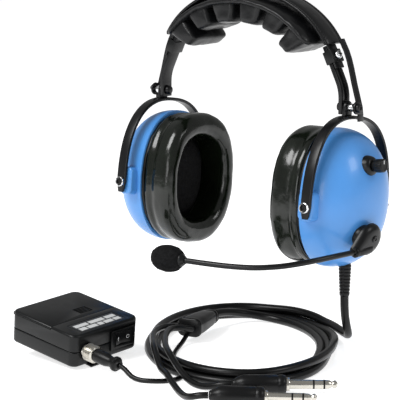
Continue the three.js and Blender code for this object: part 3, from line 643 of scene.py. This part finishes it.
main_cord = cord_curve("main_cord_wound", main_points, MAIN_RADIUS)
settle(main_cord, ["main_cord", "cord_coil"])
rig.cord(main_cord, exit=main_points[0] * MM, length=round(line_length(main_points) * MM, 2),
        diameter=2 * MAIN_RADIUS * MM,
        far_end="fitting", stiffness="medium", lay="coiled", with_pieces=[y_block])
for cord_name, points, node in (("phones", phones_points, "phones_cord"), ("mic", mic_points, "mic_cord")):
    branch = settle(cord_curve(f"{cord_name}_branch_cord", points, BRANCH_RADIUS), [node])
    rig.cord(branch, exit=points[0] * MM, length=round(line_length(points) * MM, 3),
            diameter=2 * BRANCH_RADIUS * MM,
            far_end="plug", stiffness="medium", lay="loose", with_pieces=plug_parts[cord_name])
module_lead = settle(cord_curve("module_lead_cord", lead_points[::-1], LEAD_RADIUS), ["module_lead"])
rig.cord(module_lead, exit=lead_points[-1] * MM, length=round(line_length(lead_points) * MM, 3),
        diameter=2 * LEAD_RADIUS * MM,
        far_end="connector", stiffness="medium", lay="loose", with_pieces=[module_plug, coupling_nut])

# ---------------------------------------------------------------- ear cups
PITCH = turn(-7, "X")
SIDES = {"left": PITCH, "right": PITCH @ turn(180, "Z")}


def dome(inset, steps=24):
    out = []
    for i in range(steps + 1):
        t = i / steps * math.pi / 2
        reach, rise = math.cos(t) ** (2 / CUP["crown"]), math.sin(t) ** (2 / CUP["crown"])
        out.append((0 if i == steps else (CUP["half_y"] - inset) * reach,
                    CUP["rim"] + (CUP["depth"] - inset) * rise))
    return out


def soft_wobble(size, amount, seed):
    def wobble(point):
        return noise.noise_vector(point / size + Vector((seed, 0, 0))) * amount

    return wobble


SEAL_LOOP = [
    (27.1, 54), (27.8, 50.2), (29.2, 47.6), (31.4, 46.1), (34.2, 46), (36.8, 47.1), (38.9, 49.6),
             (39.9, 53), (40, 57),
    (39.7, 61), (39, 63.8), (38.7, 65.2), (39, 66.6), (39.4, 68), (39.3, 70.2), (38.5, 72), (32, 72),
             (27.4, 72), (27, 66), (27, 60),
]
BOSS_STEPS = ((36, 1.03), (41, 1.012), (44.2, 1), (45.2, 0.985), (45.85, 0.955), (46.2, 0.91), (46.3, 0.85))


def ear_side(side, at):
    shell = Shape()
    walls = dome(CUP["wall"])[::-1] + [(38.1, 74.9), (39.8, 74.9), (40.4, 75.3)] + dome(0)[1:]
    shell.add(lathe(walls, 96, oval(CUP["stretch"], CUP["half_y"], CUP["outline"])))
    for way in (-1, 1):
        block = sweep([(84.55, way * y, -5) for y, _ in BOSS_STEPS], rounded(11.9, 21, 4, 6), X,
                      lambda t: (BOSS_STEPS[round(t * 6)][1],) * 2)
        shell.add(block)
    settle(build(f"{side}_shell", shell, [BLUE], at, crease=50), [f"{side}_cup_shell"])

    loop = [(p.x, p.y) for p in spline([(r, x, 0) for r, x in SEAL_LOOP], 1.1, closed=True)]
    seal_form = Shape().add(lathe(loop + loop[:1], 120, oval(10, 40, 2.4, 1.8)))
    broad, small = soft_wobble(13, 0.4, 3), soft_wobble(5.5, 0.16, 4)
    seal = build(f"{side}_seal_cushion", seal_form, [VINYL], at, crease=75,
                 wobble=lambda p: broad(p) + small(p))
    settle(seal, [f"{side}_ear_seal"])
    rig.padded(seal, fill=0.9)

    front = [(0, 67.6), (5, 67.6), (10, 67.6), (15, 67.7), (19, 67.9), (22, 68.3), (24.2, 69), (25.3, 70.2),
             (25.4, 71.7), (0, 71.7)]
    disc = build(f"{side}_foam_disc", Shape().add(lathe(front, 72, oval(4.3, 25.4, 2.4))), [FOAM], at,
                 crease=70,
                 wobble=soft_wobble(5, 0.35, 9))
    settle(disc, [f"{side}_acoustic_foam"])
    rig.padded(disc, fill=1)

    for end, way in (("front", -1), ("rear", 1)):
        way = way if side == "left" else way
        screw = Shape()
        screw.add(lathe([(0, 42.9), (1.8, 42.9), (1.8, 49.5), (0, 49.5)], 24))
        screw.add(lathe([(1.7, 49.6), (3.7, 49.6), (3.95, 49.9), (3.95, 50.7), (3.7, 51.2), (3.3, 51.35),
                         (3.0, 51.1), (2.95, 50.6),
                         (1.7, 50.6), (1.7, 49.6)], 40))
        screw.add(lathe([(0, 49.8), (2.9, 49.8), (2.9, 51.1), (2.4, 51.9), (1.6, 52.1), (1.35, 51.3),
                         (0, 51.2)], 40), mark=1)
        local = at @ shift(PIVOT_X, 0, PIVOT_Z) @ turn(90 * way, "Z")
        real_end = end if side == "left" else {"front": "rear", "rear": "front"}[end]
        settle(build(f"{side}_{real_end}_pivot", screw, [CHROME, STEEL], local),
               [f"{side}_{real_end}_pivot_screw"])

    line = [Vector((PIVOT_X, -PIVOT_SPAN, -14))]
    steps = 72
    for i in range(steps + 1):
        t = math.pi * i / steps
        reach = math.copysign(abs(math.cos(t)) ** 0.8, math.cos(t))
        rise = math.sin(t) ** 0.8
        line.append(Vector((PIVOT_X, -PIVOT_SPAN * reach, PIVOT_Z + YOKE_RISE * rise)))
    line.append(Vector((PIVOT_X, PIVOT_SPAN, -14)))

    def blade_size(t):
        end_gap = min(t, 1 - t) * len(line)
        return (1, 1) if end_gap > 0.9 else (0.55, 0.8)

    rear = 1 if side == "left" else -1
    tab_y, tab_z = -rear * BOLT_Z * math.sin(math.radians(7)), BOLT_Z * math.cos(math.radians(7))
    yoke = Shape().add(sweep(line, rounded(8.6, 2.5, 1.0), X, blade_size))
    eye = [(tab_y - 4.6, 57.6), (tab_y + 4.6, 57.6)]
    arch = [math.radians(a) for a in range(0, 181, 15)]
    eye += [(tab_y + 4.6 * math.cos(a), tab_z + 4.6 * math.sin(a)) for a in arch]
    to_x = Matrix(((0, 0, 1, 0), (1, 0, 0, 0), (0, 1, 0, 0), (0, 0, 0, 1)))
    yoke.add(prism(eye, 85.9, 88.3), to_x)
    settle(build(f"{side}_yoke_strap", yoke, [STEEL], at, bevel=0.35), [f"{side}_yoke"])
    for node in ("baffle", "speaker"):
        refined(f"{side}_{node}", bevel=0.3)


for side_name, side_at in SIDES.items():
    ear_side(side_name, side_at)

# ---------------------------------------------------------------- arms and clamps
for side_name, mirror in (("left", Matrix.Identity(4)), ("right", turn(180, "Z"))):
    refined(f"{side_name}_slide_bar", bevel=0.35)
    strap = refined(f"{side_name}_outer_strap", bevel=0.35)
    for vertex in strap.data.vertices:
        tuck = ease((vertex.co.z / MM - STRAP_TUCK_FROM) / STRAP_TUCK_OVER)
        vertex.co.z -= STRAP_TUCK_DOWN * tuck * MM
    refined(f"{side_name}_slide_clamp", bevel=0.35)
    bolt = Shape()
    bolt.add(lathe([(0, 79.2), (2.2, 79.2), (3.1, 79.8), (3.4, 80.6), (3.4, 82.1), (1.9, 82.1), (1.9, 85),
                    (0, 85)], 36), mark=1)
    bolt.add(lathe([(0, 84.9), (1.9, 84.9), (1.9, 88.7), (2.8, 88.7), (2.9, 89), (2.9, 91.9), (2.8, 92.2),
                    (1.9, 92.2), (1.9, 96.3),
                    (0, 96.3)], 36))
    bolt.add(lathe([(0, 96.2), (3.2, 96.2), (3.3, 96.5), (3.2, 97.7), (2.7, 98.4), (1.8, 98.6), (1.3, 98.6),
                    (1.1, 97.9), (0, 97.9)], 36),
             mark=2)
    finishes = [CHROME, STEEL, STEEL] if side_name == "left" else [CHROME, STEEL, CHROME]
    settle(build(f"{side_name}_standoff_bolt", bolt, finishes, mirror @ shift(0, 0, BOLT_Z)),
           [f"{side_name}_arm_bolt"])
    lean = math.radians(26)
    end = math.radians(70)
    foot = Vector(((BAND_A - SPRING_DEPTH) * math.sin(end), 0,
                   BAND_Z + (BAND_B - SPRING_DEPTH) * math.cos(end)))
    seat = foot + Vector((-math.sin(lean), 0, math.cos(lean))) * -4.8
    clamp_screw = Shape()
    clamp_screw.add(lathe([(0, -1.1), (1.3, -1.1), (1.3, 2.15), (2.8, 2.15), (3.0, 2.4), (3.0, 3.5),
                           (2.5, 4.3), (1.6, 4.7), (0, 4.8)], 32))
    clamp_screw.add(brick(4.3, -2.2, -0.35, 4.86, 2.2, 0.35), mark=1)
    settle(build(f"{side_name}_clamp_bolt", clamp_screw, [CHROME, PLASTIC],
                 mirror @ shift(*seat) @ turn(-26, "Y")),
           [f"{side_name}_clamp_screw"])

# ---------------------------------------------------------------- headband
refined("headband_spring", bevel=0.2)


def arc(depth, end, steps):
    out = []
    for i in range(steps + 1):
        a = math.radians(-end + 2 * end * i / steps)
        out.append(Vector(((BAND_A - depth) * math.sin(a), 0, BAND_Z + (BAND_B - depth) * math.cos(a))))
    return out


COVER_HALF = [(0, 1.75), (3, 1.7), (6, 1.4), (7.3, 0.85), (8, 0.5), (8.7, 0.8), (9.7, 1.15), (10.6, 0.95),
              (11, 0.3),
              (11, -0.7), (10.6, -1.15)]
cover_section = COVER_HALF + [(-a, b) for a, b in COVER_HALF[::-1][:-1]]


def cover_size(t):
    gap = min(t, 1 - t)
    return (0.93, 0.7) if gap < 0.004 else (1, 1)


cover_form = Shape().add(sweep(arc(1.2, 66.5, 90), cover_section, Y, cover_size))
settle(build("headband_cover_panel", cover_form, [LEATHER], crease=60), ["headband_cover"])
stitches = Shape()
rail = arc(1.2 - 0.55, 65.5, 300)
for row in (-8, 8):
    for k in range(0, 296, 4):
        stitch = [rail[k + i] + Vector((0, row, 0)) for i in range(3)]
        stitches.add(sweep(stitch, rounded(0.7, 0.6, 0.25, 2), Y))
settle(build("headband_stitching", stitches, [THREAD]), [], "headband", "pad_leatherette")

pad_form = Shape()


def flange_size(t):
    gap = min(t, 1 - t) / 0.07
    edge = math.sqrt(max(0.0, 1 - (1 - min(1, gap)) ** 2))
    return 0.72 + 0.28 * edge, 0.35 + 0.65 * edge


flange_section = []
for i in range(48):
    a = 2 * math.pi * i / 48
    c, s = math.cos(a), math.sin(a)
    grow = (abs(c) ** 3.2 + abs(s) ** 3.2) ** (-1 / 3.2)
    flange_section.append((22.5 * c * grow, 3.25 * s * grow))
pad_form.add(sweep(arc(9.2, 63, 110), flange_section, Y, flange_size))


def lobe(centre):
    """One puffy block under the band, drawn in toward its seams; the end ones hang lower."""
    rise = 8.7 if abs(centre) < 50 else 10.7
    verts, index, faces = [], {}, []
    n = 18

    def corner(key):
        if key not in index:
            a, b, c = (2 * k / n - 1 for k in key)
            q = Vector((a, b, c)) / (abs(a) ** 7 + abs(b) ** 7 + abs(c) ** 7) ** (1 / 7)
            depth = 7.8 + rise * (1 + q.z)
            wide = 9.5 * (0.93 - 0.07 * q.z)
            puff = 1 - 0.07 * (q.y**4 + 0.4 * q.z**4)
            ang = math.radians(centre + wide * q.x * puff)
            depth += 0.5 * (1 - q.x**2) * (1 - q.y**4) * max(0, q.z)
            index[key] = len(verts)
            across = 20.5 * q.y * (1 - 0.03 * q.x**4)
            x, z = (BAND_A - depth) * math.sin(ang), BAND_Z + (BAND_B - depth) * math.cos(ang)
            verts.append(Vector((x, across, z)))
        return index[key]

    for axis in range(3):
        for level in (0, n):
            for i in range(n):
                for j in range(n):
                    quad = []
                    for di, dj in ((0, 0), (1, 0), (1, 1), (0, 1)):
                        key = [i + di, j + dj]
                        key.insert(axis, level)
                        quad.append(corner(tuple(key)))
                    faces.append(quad)
    return verts, faces


for k in range(6):
    pad_form.add(lobe((k - 2.5) * 21))
pad = build("head_pad_cushion", pad_form, [LEATHER], crease=70, wobble=soft_wobble(7, 0.5, 5))
settle(pad, ["head_pad"])
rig.padded(pad, fill=0.8)

# ---------------------------------------------------------------- knob, boom and strain relief
KNOB_AT = PITCH @ shift(109, -5.8, 25.7) @ turn(-7, "Y")
MOUNT_AT = PITCH @ shift(109.2, -8.5, -24) @ turn(17, "Y")
base = Shape().add(lathe([(0, -17), (8, -17), (8, -8.4), (3.2, -8.4), (3.2, -4.9), (7.8, -4.9), (7.5, -1),
                          (7.0, 1), (6.4, 2.4),
                          (5.4, 3.2), (4.4, 3.4), (2.4, 3.4), (2.4, -2), (0, -2)], 48))
settle(build("volume_control_bush", base, [PLASTIC], KNOB_AT), ["volume_control"])


def flutes(radius, x, angle):
    cut = 0.07 * (0.5 + 0.5 * math.cos(16 * angle)) if 6.2 < x < 11.4 and radius > 4.5 else 0
    radius *= 1 - cut
    return radius * math.cos(angle), radius * math.sin(angle)


knob = Shape().add(lathe([(0, -1.9), (1.9, -1.9), (1.9, 3.8), (3.9, 3.8), (4, 4), (4, 5.1), (4.6, 5.7),
                          (4.9, 6.3), (4.9, 10.9),
                          (4.7, 11.6), (4.2, 12.1), (3.8, 12.2), (3.5, 11.9), (0, 11.8)], 96, flutes))
knob.add(brick(11.7, -0.45, 1.0, 12.1, 0.45, 3.5), mark=1)
settle(build("volume_knob_fluted", knob, [PLASTIC, WHITE], KNOB_AT), ["volume_knob"])

settle(build("boom_base_disc", Shape().add(lathe([(0, -4), (8.3, -4), (8.5, -3.7), (8.5, 2.7), (8.3, 3),
                                                  (0, 3)], 48)), [PLASTIC], MOUNT_AT),
       ["boom_base"])


def teardrop(layers, sides=64):
    """Stacked outlines, each drawn round a large circle and a small one at its tail."""
    (hub_y, hub_z), (tail_y, tail_z) = (1, -0.5), (-11.4, -7.8)
    verts, faces = [], []
    for x, hub, tail in layers:
        for i in range(sides):
            c, s = math.cos(2 * math.pi * i / sides), math.sin(2 * math.pi * i / sides)
            at_hub = hub_y * c + hub_z * s + hub >= tail_y * c + tail_z * s + tail
            y, z, r = (hub_y, hub_z, hub) if at_hub else (tail_y, tail_z, tail)
            verts.append((x, y + r * c, z + r * s))
    for k in range(len(layers) - 1):
        for i in range(sides):
            j = (i + 1) % sides
            faces.append((k * sides + i, k * sides + j, (k + 1) * sides + j, (k + 1) * sides + i))
    faces.append(tuple(range(sides))[::-1])
    faces.append(tuple((len(layers) - 1) * sides + i for i in range(sides)))
    return verts, faces


swivel = Shape().add(teardrop([(3.4, 11.8, 3.5), (3.7, 12.2, 3.9), (4.8, 12.3, 4), (6.4, 11.8, 3.8),
                               (7.8, 10.9, 3.4), (8.9, 9.5, 2.8),
                               (9.5, 7.8, 2), (9.75, 6, 1.2), (9.85, 3, 0.5)]))
barrel_from, barrel_to = Vector((7.6, 4, -6)), Vector((7.6, -14.6, -8.9))
barrel_at = shift(*barrel_from) @ X.rotation_difference(barrel_to - barrel_from).to_matrix().to_4x4()
barrel_long = (barrel_to - barrel_from).length
swivel.add(lathe([(0, -1.6), (1.6, -1.4), (2.8, -0.4), (3.5, 1.4), (3.7, 3.4), (3.7, barrel_long - 3.2),
                  (3.5, barrel_long - 2.9),
                  (3.5, barrel_long - 2.4), (3.75, barrel_long - 2.1), (3.75, barrel_long - 0.4),
                  (3.5, barrel_long), (2.3, barrel_long),
                  (2.2, barrel_long - 1), (0, barrel_long - 1)], 40), barrel_at)
swivel.add(lathe([(0, 9.2), (2.4, 9.2), (2.6, 10.2), (2.2, 10.8), (1.2, 10.9), (1.1, 10.4), (0, 10.4)], 32),
           shift(0, 1.5, 2), mark=1)
settle(build("boom_swivel_housing", swivel, [PLASTIC, STEEL], MOUNT_AT), ["boom_swivel"])

BOOM_ROUTE = [
    (113.6, -29.6, -31.4), (110.4, -46, -31.8), (105, -60, -33), (98, -71, -34.5), (89.5, -80, -36),
    (75, -90, -37.3), (58, -97, -37.5), (40, -102, -37.1), (25, -104.4, -36.9),
]
settle(cord_curve("mic_boom_tube", spline(BOOM_ROUTE, 3), 2.0, STEEL), ["mic_boom"])
HEAD_AT = shift(24.4, -104.5, -36.9) @ turn(187, "Z")
capsule = Shape().add(lathe([(0, -0.2), (2.6, -0.2), (3.1, 0.4), (3.4, 1.2), (4.3, 2.0), (4.6, 2.8),
                             (4.6, 15), (0, 15)], 36))
settle(build("mic_capsule_body", capsule, [PLASTIC], HEAD_AT), ["mic_capsule"])
egg = [(0, 3.4), (3.4, 3.3), (4.9, 3.4), (6.2, 4.2), (7.6, 5.9), (8.7, 8.2), (9.3, 11), (9.6, 14),
       (9.4, 17), (8.8, 20), (7.6, 22.8),
       (5.8, 25.2), (3.6, 26.9), (1.6, 27.5), (0, 27.6)]
windscreen = build("mic_windscreen_foam", Shape().add(lathe(egg, 64)), [FOAM], HEAD_AT, crease=80,
                   wobble=soft_wobble(1.6, 0.35, 2))
settle(windscreen, ["mic_windscreen"])
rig.padded(windscreen, fill=1)

relief_profile = [(0, -71.3), (3.3, -71.3), (3.6, -71)]
for k in range(9):
    z = -70.2 + 2.5 * k
    r = 3.65 + 0.12 * k
    relief_profile += [(r, z), (r + 0.1, z + 0.3), (r + 0.1, z + 1.3), (r, z + 1.6), (r - 0.5, z + 1.8),
                       (r - 0.5, z + 2.3)]
relief_profile += [(4.7, -47.4), (4.7, -43), (0, -43)]
settle(build("strain_relief_boot", Shape().add(lathe(relief_profile, 40)), [MOULDED],
             along_z(shift(PIVOT_X, 0, 0)), crease=45),
       ["strain_relief"])

# ---------------------------------------------------------------- battery module
FACE, SIDE, CORNER, SEAM, HEIGHT = 33, 32, 6, 11, 24


def box_outline(inset):
    return rounded(2 * (FACE - inset), 2 * (SIDE - inset), CORNER - inset, 8)


def pillow(z0, z1, below, above, steps=4):
    """The case outline from z0 to z1 with its lower and upper rims rounded by these radii."""
    layers = []
    for k in range(steps + 1):
        a = math.pi / 2 * k / steps
        layers.append((z0 + below * (1 - math.cos(a)), below * (1 - math.sin(a))))
    for k in range(steps + 1):
        a = math.pi / 2 * (1 - k / steps)
        layers.append((z1 - above * (1 - math.cos(a)), above * (1 - math.sin(a))))
    outlines = [[(x, y, z) for x, y in box_outline(inset)] for z, inset in layers]
    n = len(outlines[0])
    verts = [v for outline in outlines for v in outline]
    faces = [tuple(range(n))[::-1], tuple((len(outlines) - 1) * n + i for i in range(n))]
    for k in range(len(outlines) - 1):
        for i in range(n):
            j = (i + 1) % n
            faces.append((k * n + i, k * n + j, (k + 1) * n + j, (k + 1) * n + i))
    return verts, faces


def solid(name, form, looks=(PLASTIC,)):
    bm = bmesh.new()
    verts = [bm.verts.new(Vector(v) * MM) for v in form[0]]
    for face in form[1]:
        bm.faces.new([verts[i] for i in face])
    bmesh.ops.recalc_face_normals(bm, faces=bm.faces)
    mesh = bpy.data.meshes.new(name)
    bm.to_mesh(mesh)
    bm.free()
    for material in looks:
        mesh.materials.append(material)
    obj = bpy.data.objects.new(name, mesh)
    bpy.context.collection.objects.link(obj)
    return obj


def module_piece(name, outer, cutters, node, bevel, looks=(PLASTIC,)):
    body = solid(name, outer, looks)
    bm, name, looks = carve(body, *[solid(f"cutter_{i}", form) for i, form in enumerate(cutters)])
    bm.transform(Matrix.Scale(1 / MM, 4))
    bm.transform(MODULE_AT)
    bm.transform(Matrix.Scale(MM, 4))
    return settle(finish_mesh(bm, name, looks, bevel, 34), [node])


def add_block(bm, centre, size):
    """Adds a box to a mesh, given its middle and its size in millimetres."""
    place = shift(*(value * MM for value in centre))
    bmesh.ops.create_cube(bm, size=MM, matrix=place @ Matrix.Diagonal((*size, 1)))


socket_hole = lathe([(0, FACE - 6), (5.4, FACE - 6), (5.4, FACE + 2), (0, FACE + 2)], 32)
socket_hole = ([Vector(v) + Vector((0, -19.5, 10.6)) for v in socket_hole[0]], socket_hole[1])
switch_hole = brick(FACE - 5, 3.2, 4.4, FACE + 2, 27.6, 19.6)
module_piece("module_lower_case", pillow(0, SEAM, 2.2, 0.7),
             [prism(box_outline(2), 2, SEAM + 2), socket_hole, switch_hole],
             "module_case_bottom", 0.3)
module_piece("module_upper_case", pillow(SEAM + 0.35, HEIGHT, 0.7, 1.9), [
    prism(box_outline(2), SEAM - 2, HEIGHT - 2), socket_hole, switch_hole,
    brick(-FACE - 2, -SIDE - 2, HEIGHT - 2.35, 8.85, SIDE + 2, HEIGHT + 2),
    brick(-FACE - 2, 2 - SIDE, HEIGHT - 4.35, 0, SIDE - 2, HEIGHT),
    brick(14.5, -22, HEIGHT - 0.8, 29.5, 22, HEIGHT + 2)], "module_case_top", 0.25)
door_forms = solid("battery_door_plate", pillow(HEIGHT - 2, HEIGHT, 0.05, 1.85))
door_bm, door_name, door_looks = carve(
    door_forms, solid("cutter_a", brick(8.5, -40, HEIGHT - 4, 40, 40, HEIGHT + 2)),
    solid("cutter_b", brick(-5.5, 2, HEIGHT - 0.7, 3.5, 14, HEIGHT + 2)))
add_block(door_bm, (-14.25, 0, HEIGHT - 3), (37.5, 59.3, 2.1))
for k in range(4):
    add_block(door_bm, (-4 + 2 * k, 8, HEIGHT - 0.45), (0.8, 10, 0.7))
door_bm.transform(Matrix.Scale(1 / MM, 4))
door_bm.transform(MODULE_AT)
door_bm.transform(Matrix.Scale(MM, 4))
settle(finish_mesh(door_bm, door_name, door_looks, 0.35, 34), ["battery_door"])

label = Shape().add(brick(15, -21.5, HEIGHT - 0.55, 29, 21.5, HEIGHT - 0.05))
LABEL_BARS = {
    25.2: [(-19.5, -13), (-11.8, -3), (-1.8, 3), (4.2, 12.4), (13.6, 19.5)],
    19.6: [(-19.5, -7), (-5.4, 8.6), (10.2, 19.5)],
}
for row, spans in LABEL_BARS.items():
    for y0, y1 in spans:
        label.add(brick(row - 2.1, y0, HEIGHT - 0.06, row + 2.1, y1, HEIGHT + 0.02), mark=1)
settle(build("label_plate_print", label, [LABEL, WHITE], MODULE_AT), ["label_plate"])

refined("belt_clip", bevel=0.3)
refined("switch_bezel", bevel=0.35)
rocker = Shape()
profile = [(FACE - 3, -7.2), (FACE + 1.2, -7.2), (FACE + 0.75, -4.6), (FACE + 0.35, -2), (FACE + 0.2, 0),
           (FACE + 0.35, 2),
           (FACE + 0.75, 4.6), (FACE + 1.2, 7.2), (FACE - 3, 7.2)]
rocker.add(prism(profile, 7.7, 16.3), shift(0, 15.4, 0))
rocker.add(brick(FACE + 0.6, 10.2, 10.4, FACE + 0.95, 11.1, 13.6), mark=1)
ring = lathe([(0.9, 0), (1.6, 0), (1.6, 0.35), (0.9, 0.35), (0.9, 0)], 24)
rocker.add(ring, shift(FACE + 0.62, 20, 12), mark=1)
settle(build("rocker_switch_cap", rocker, [PLASTIC, WHITE], MODULE_AT, bevel=0.15), ["rocker_switch"])

socket = Shape()
thread = [(3.8, -6.6), (4.8, -6.6)]
for k in range(11):
    x = -5 + 0.95 * k
    thread += [(4.55, x), (4.95, x + 0.45)]
thread += [(4.7, 5.6), (3.8, 5.6), (3.8, -6.6)]
socket.add(lathe(thread, 40))
settle(build("module_socket_thread", socket, [BRASS], SOCKET_AT), ["module_socket"])

# ---------------------------------------------------------------- what stays as CAD
for node_name in ("amplifier_board", "battery", "module_board"):
    data = NODES[node_name].data
    data.materials.clear()
    data.materials.append(LOOKS[SLOT_OF[node_name]])


# ---------------------------------------------------------------- floor and light
def make_stage():
    mesh = bpy.data.meshes.new("floor")
    corners = [(x, y, FLOOR * MM) for x, y in ((-12, -12), (12, -12), (12, 12), (-12, 12))]
    mesh.from_pydata(corners, [], [(0, 1, 2, 3)])
    floor = bpy.data.objects.new("floor", mesh)
    white = look("floor_white", (0.93, 0.93, 0.93), 0.8, tint=0.005, bump=0.0, specular=0.1, emit=0.68)
    mesh.materials.append(white)
    bpy.context.collection.objects.link(floor)
    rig.stage(floor)


def area(name, place, aim, size, power, shape="SQUARE"):
    data = bpy.data.lights.new(name, "AREA")
    data.shape, data.size, data.energy = shape, size, power
    lamp = bpy.data.objects.new(name, data)
    lamp.location = place
    lamp.rotation_euler = (Vector(aim) - Vector(place)).to_track_quat("-Z", "Y").to_euler()
    bpy.context.collection.objects.link(lamp)


make_stage()
world = bpy.data.worlds.new("studio")
bpy.context.scene.world = world
world.use_nodes = True
world.node_tree.nodes["Background"].inputs["Color"].default_value = (1, 1, 1, 1)
world.node_tree.nodes["Background"].inputs["Strength"].default_value = 0.34
area("key", (-0.45, -1.25, 1.3), (0, 0, 0), 0.8, 24)
area("rim", (1.3, 0.2, 0.9), (0.05, 0, 0), 0.5, 5)
area("fill", (0.2, -1.5, 0.3), (0, 0, 0), 0.5, 3)
bpy.context.scene.view_settings.view_transform = "Standard"

new_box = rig.bounds()
with open("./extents.json", "w") as out_file:
    json.dump([[list(map(float, corner)) for corner in box] for box in (cad_box, new_box)], out_file)
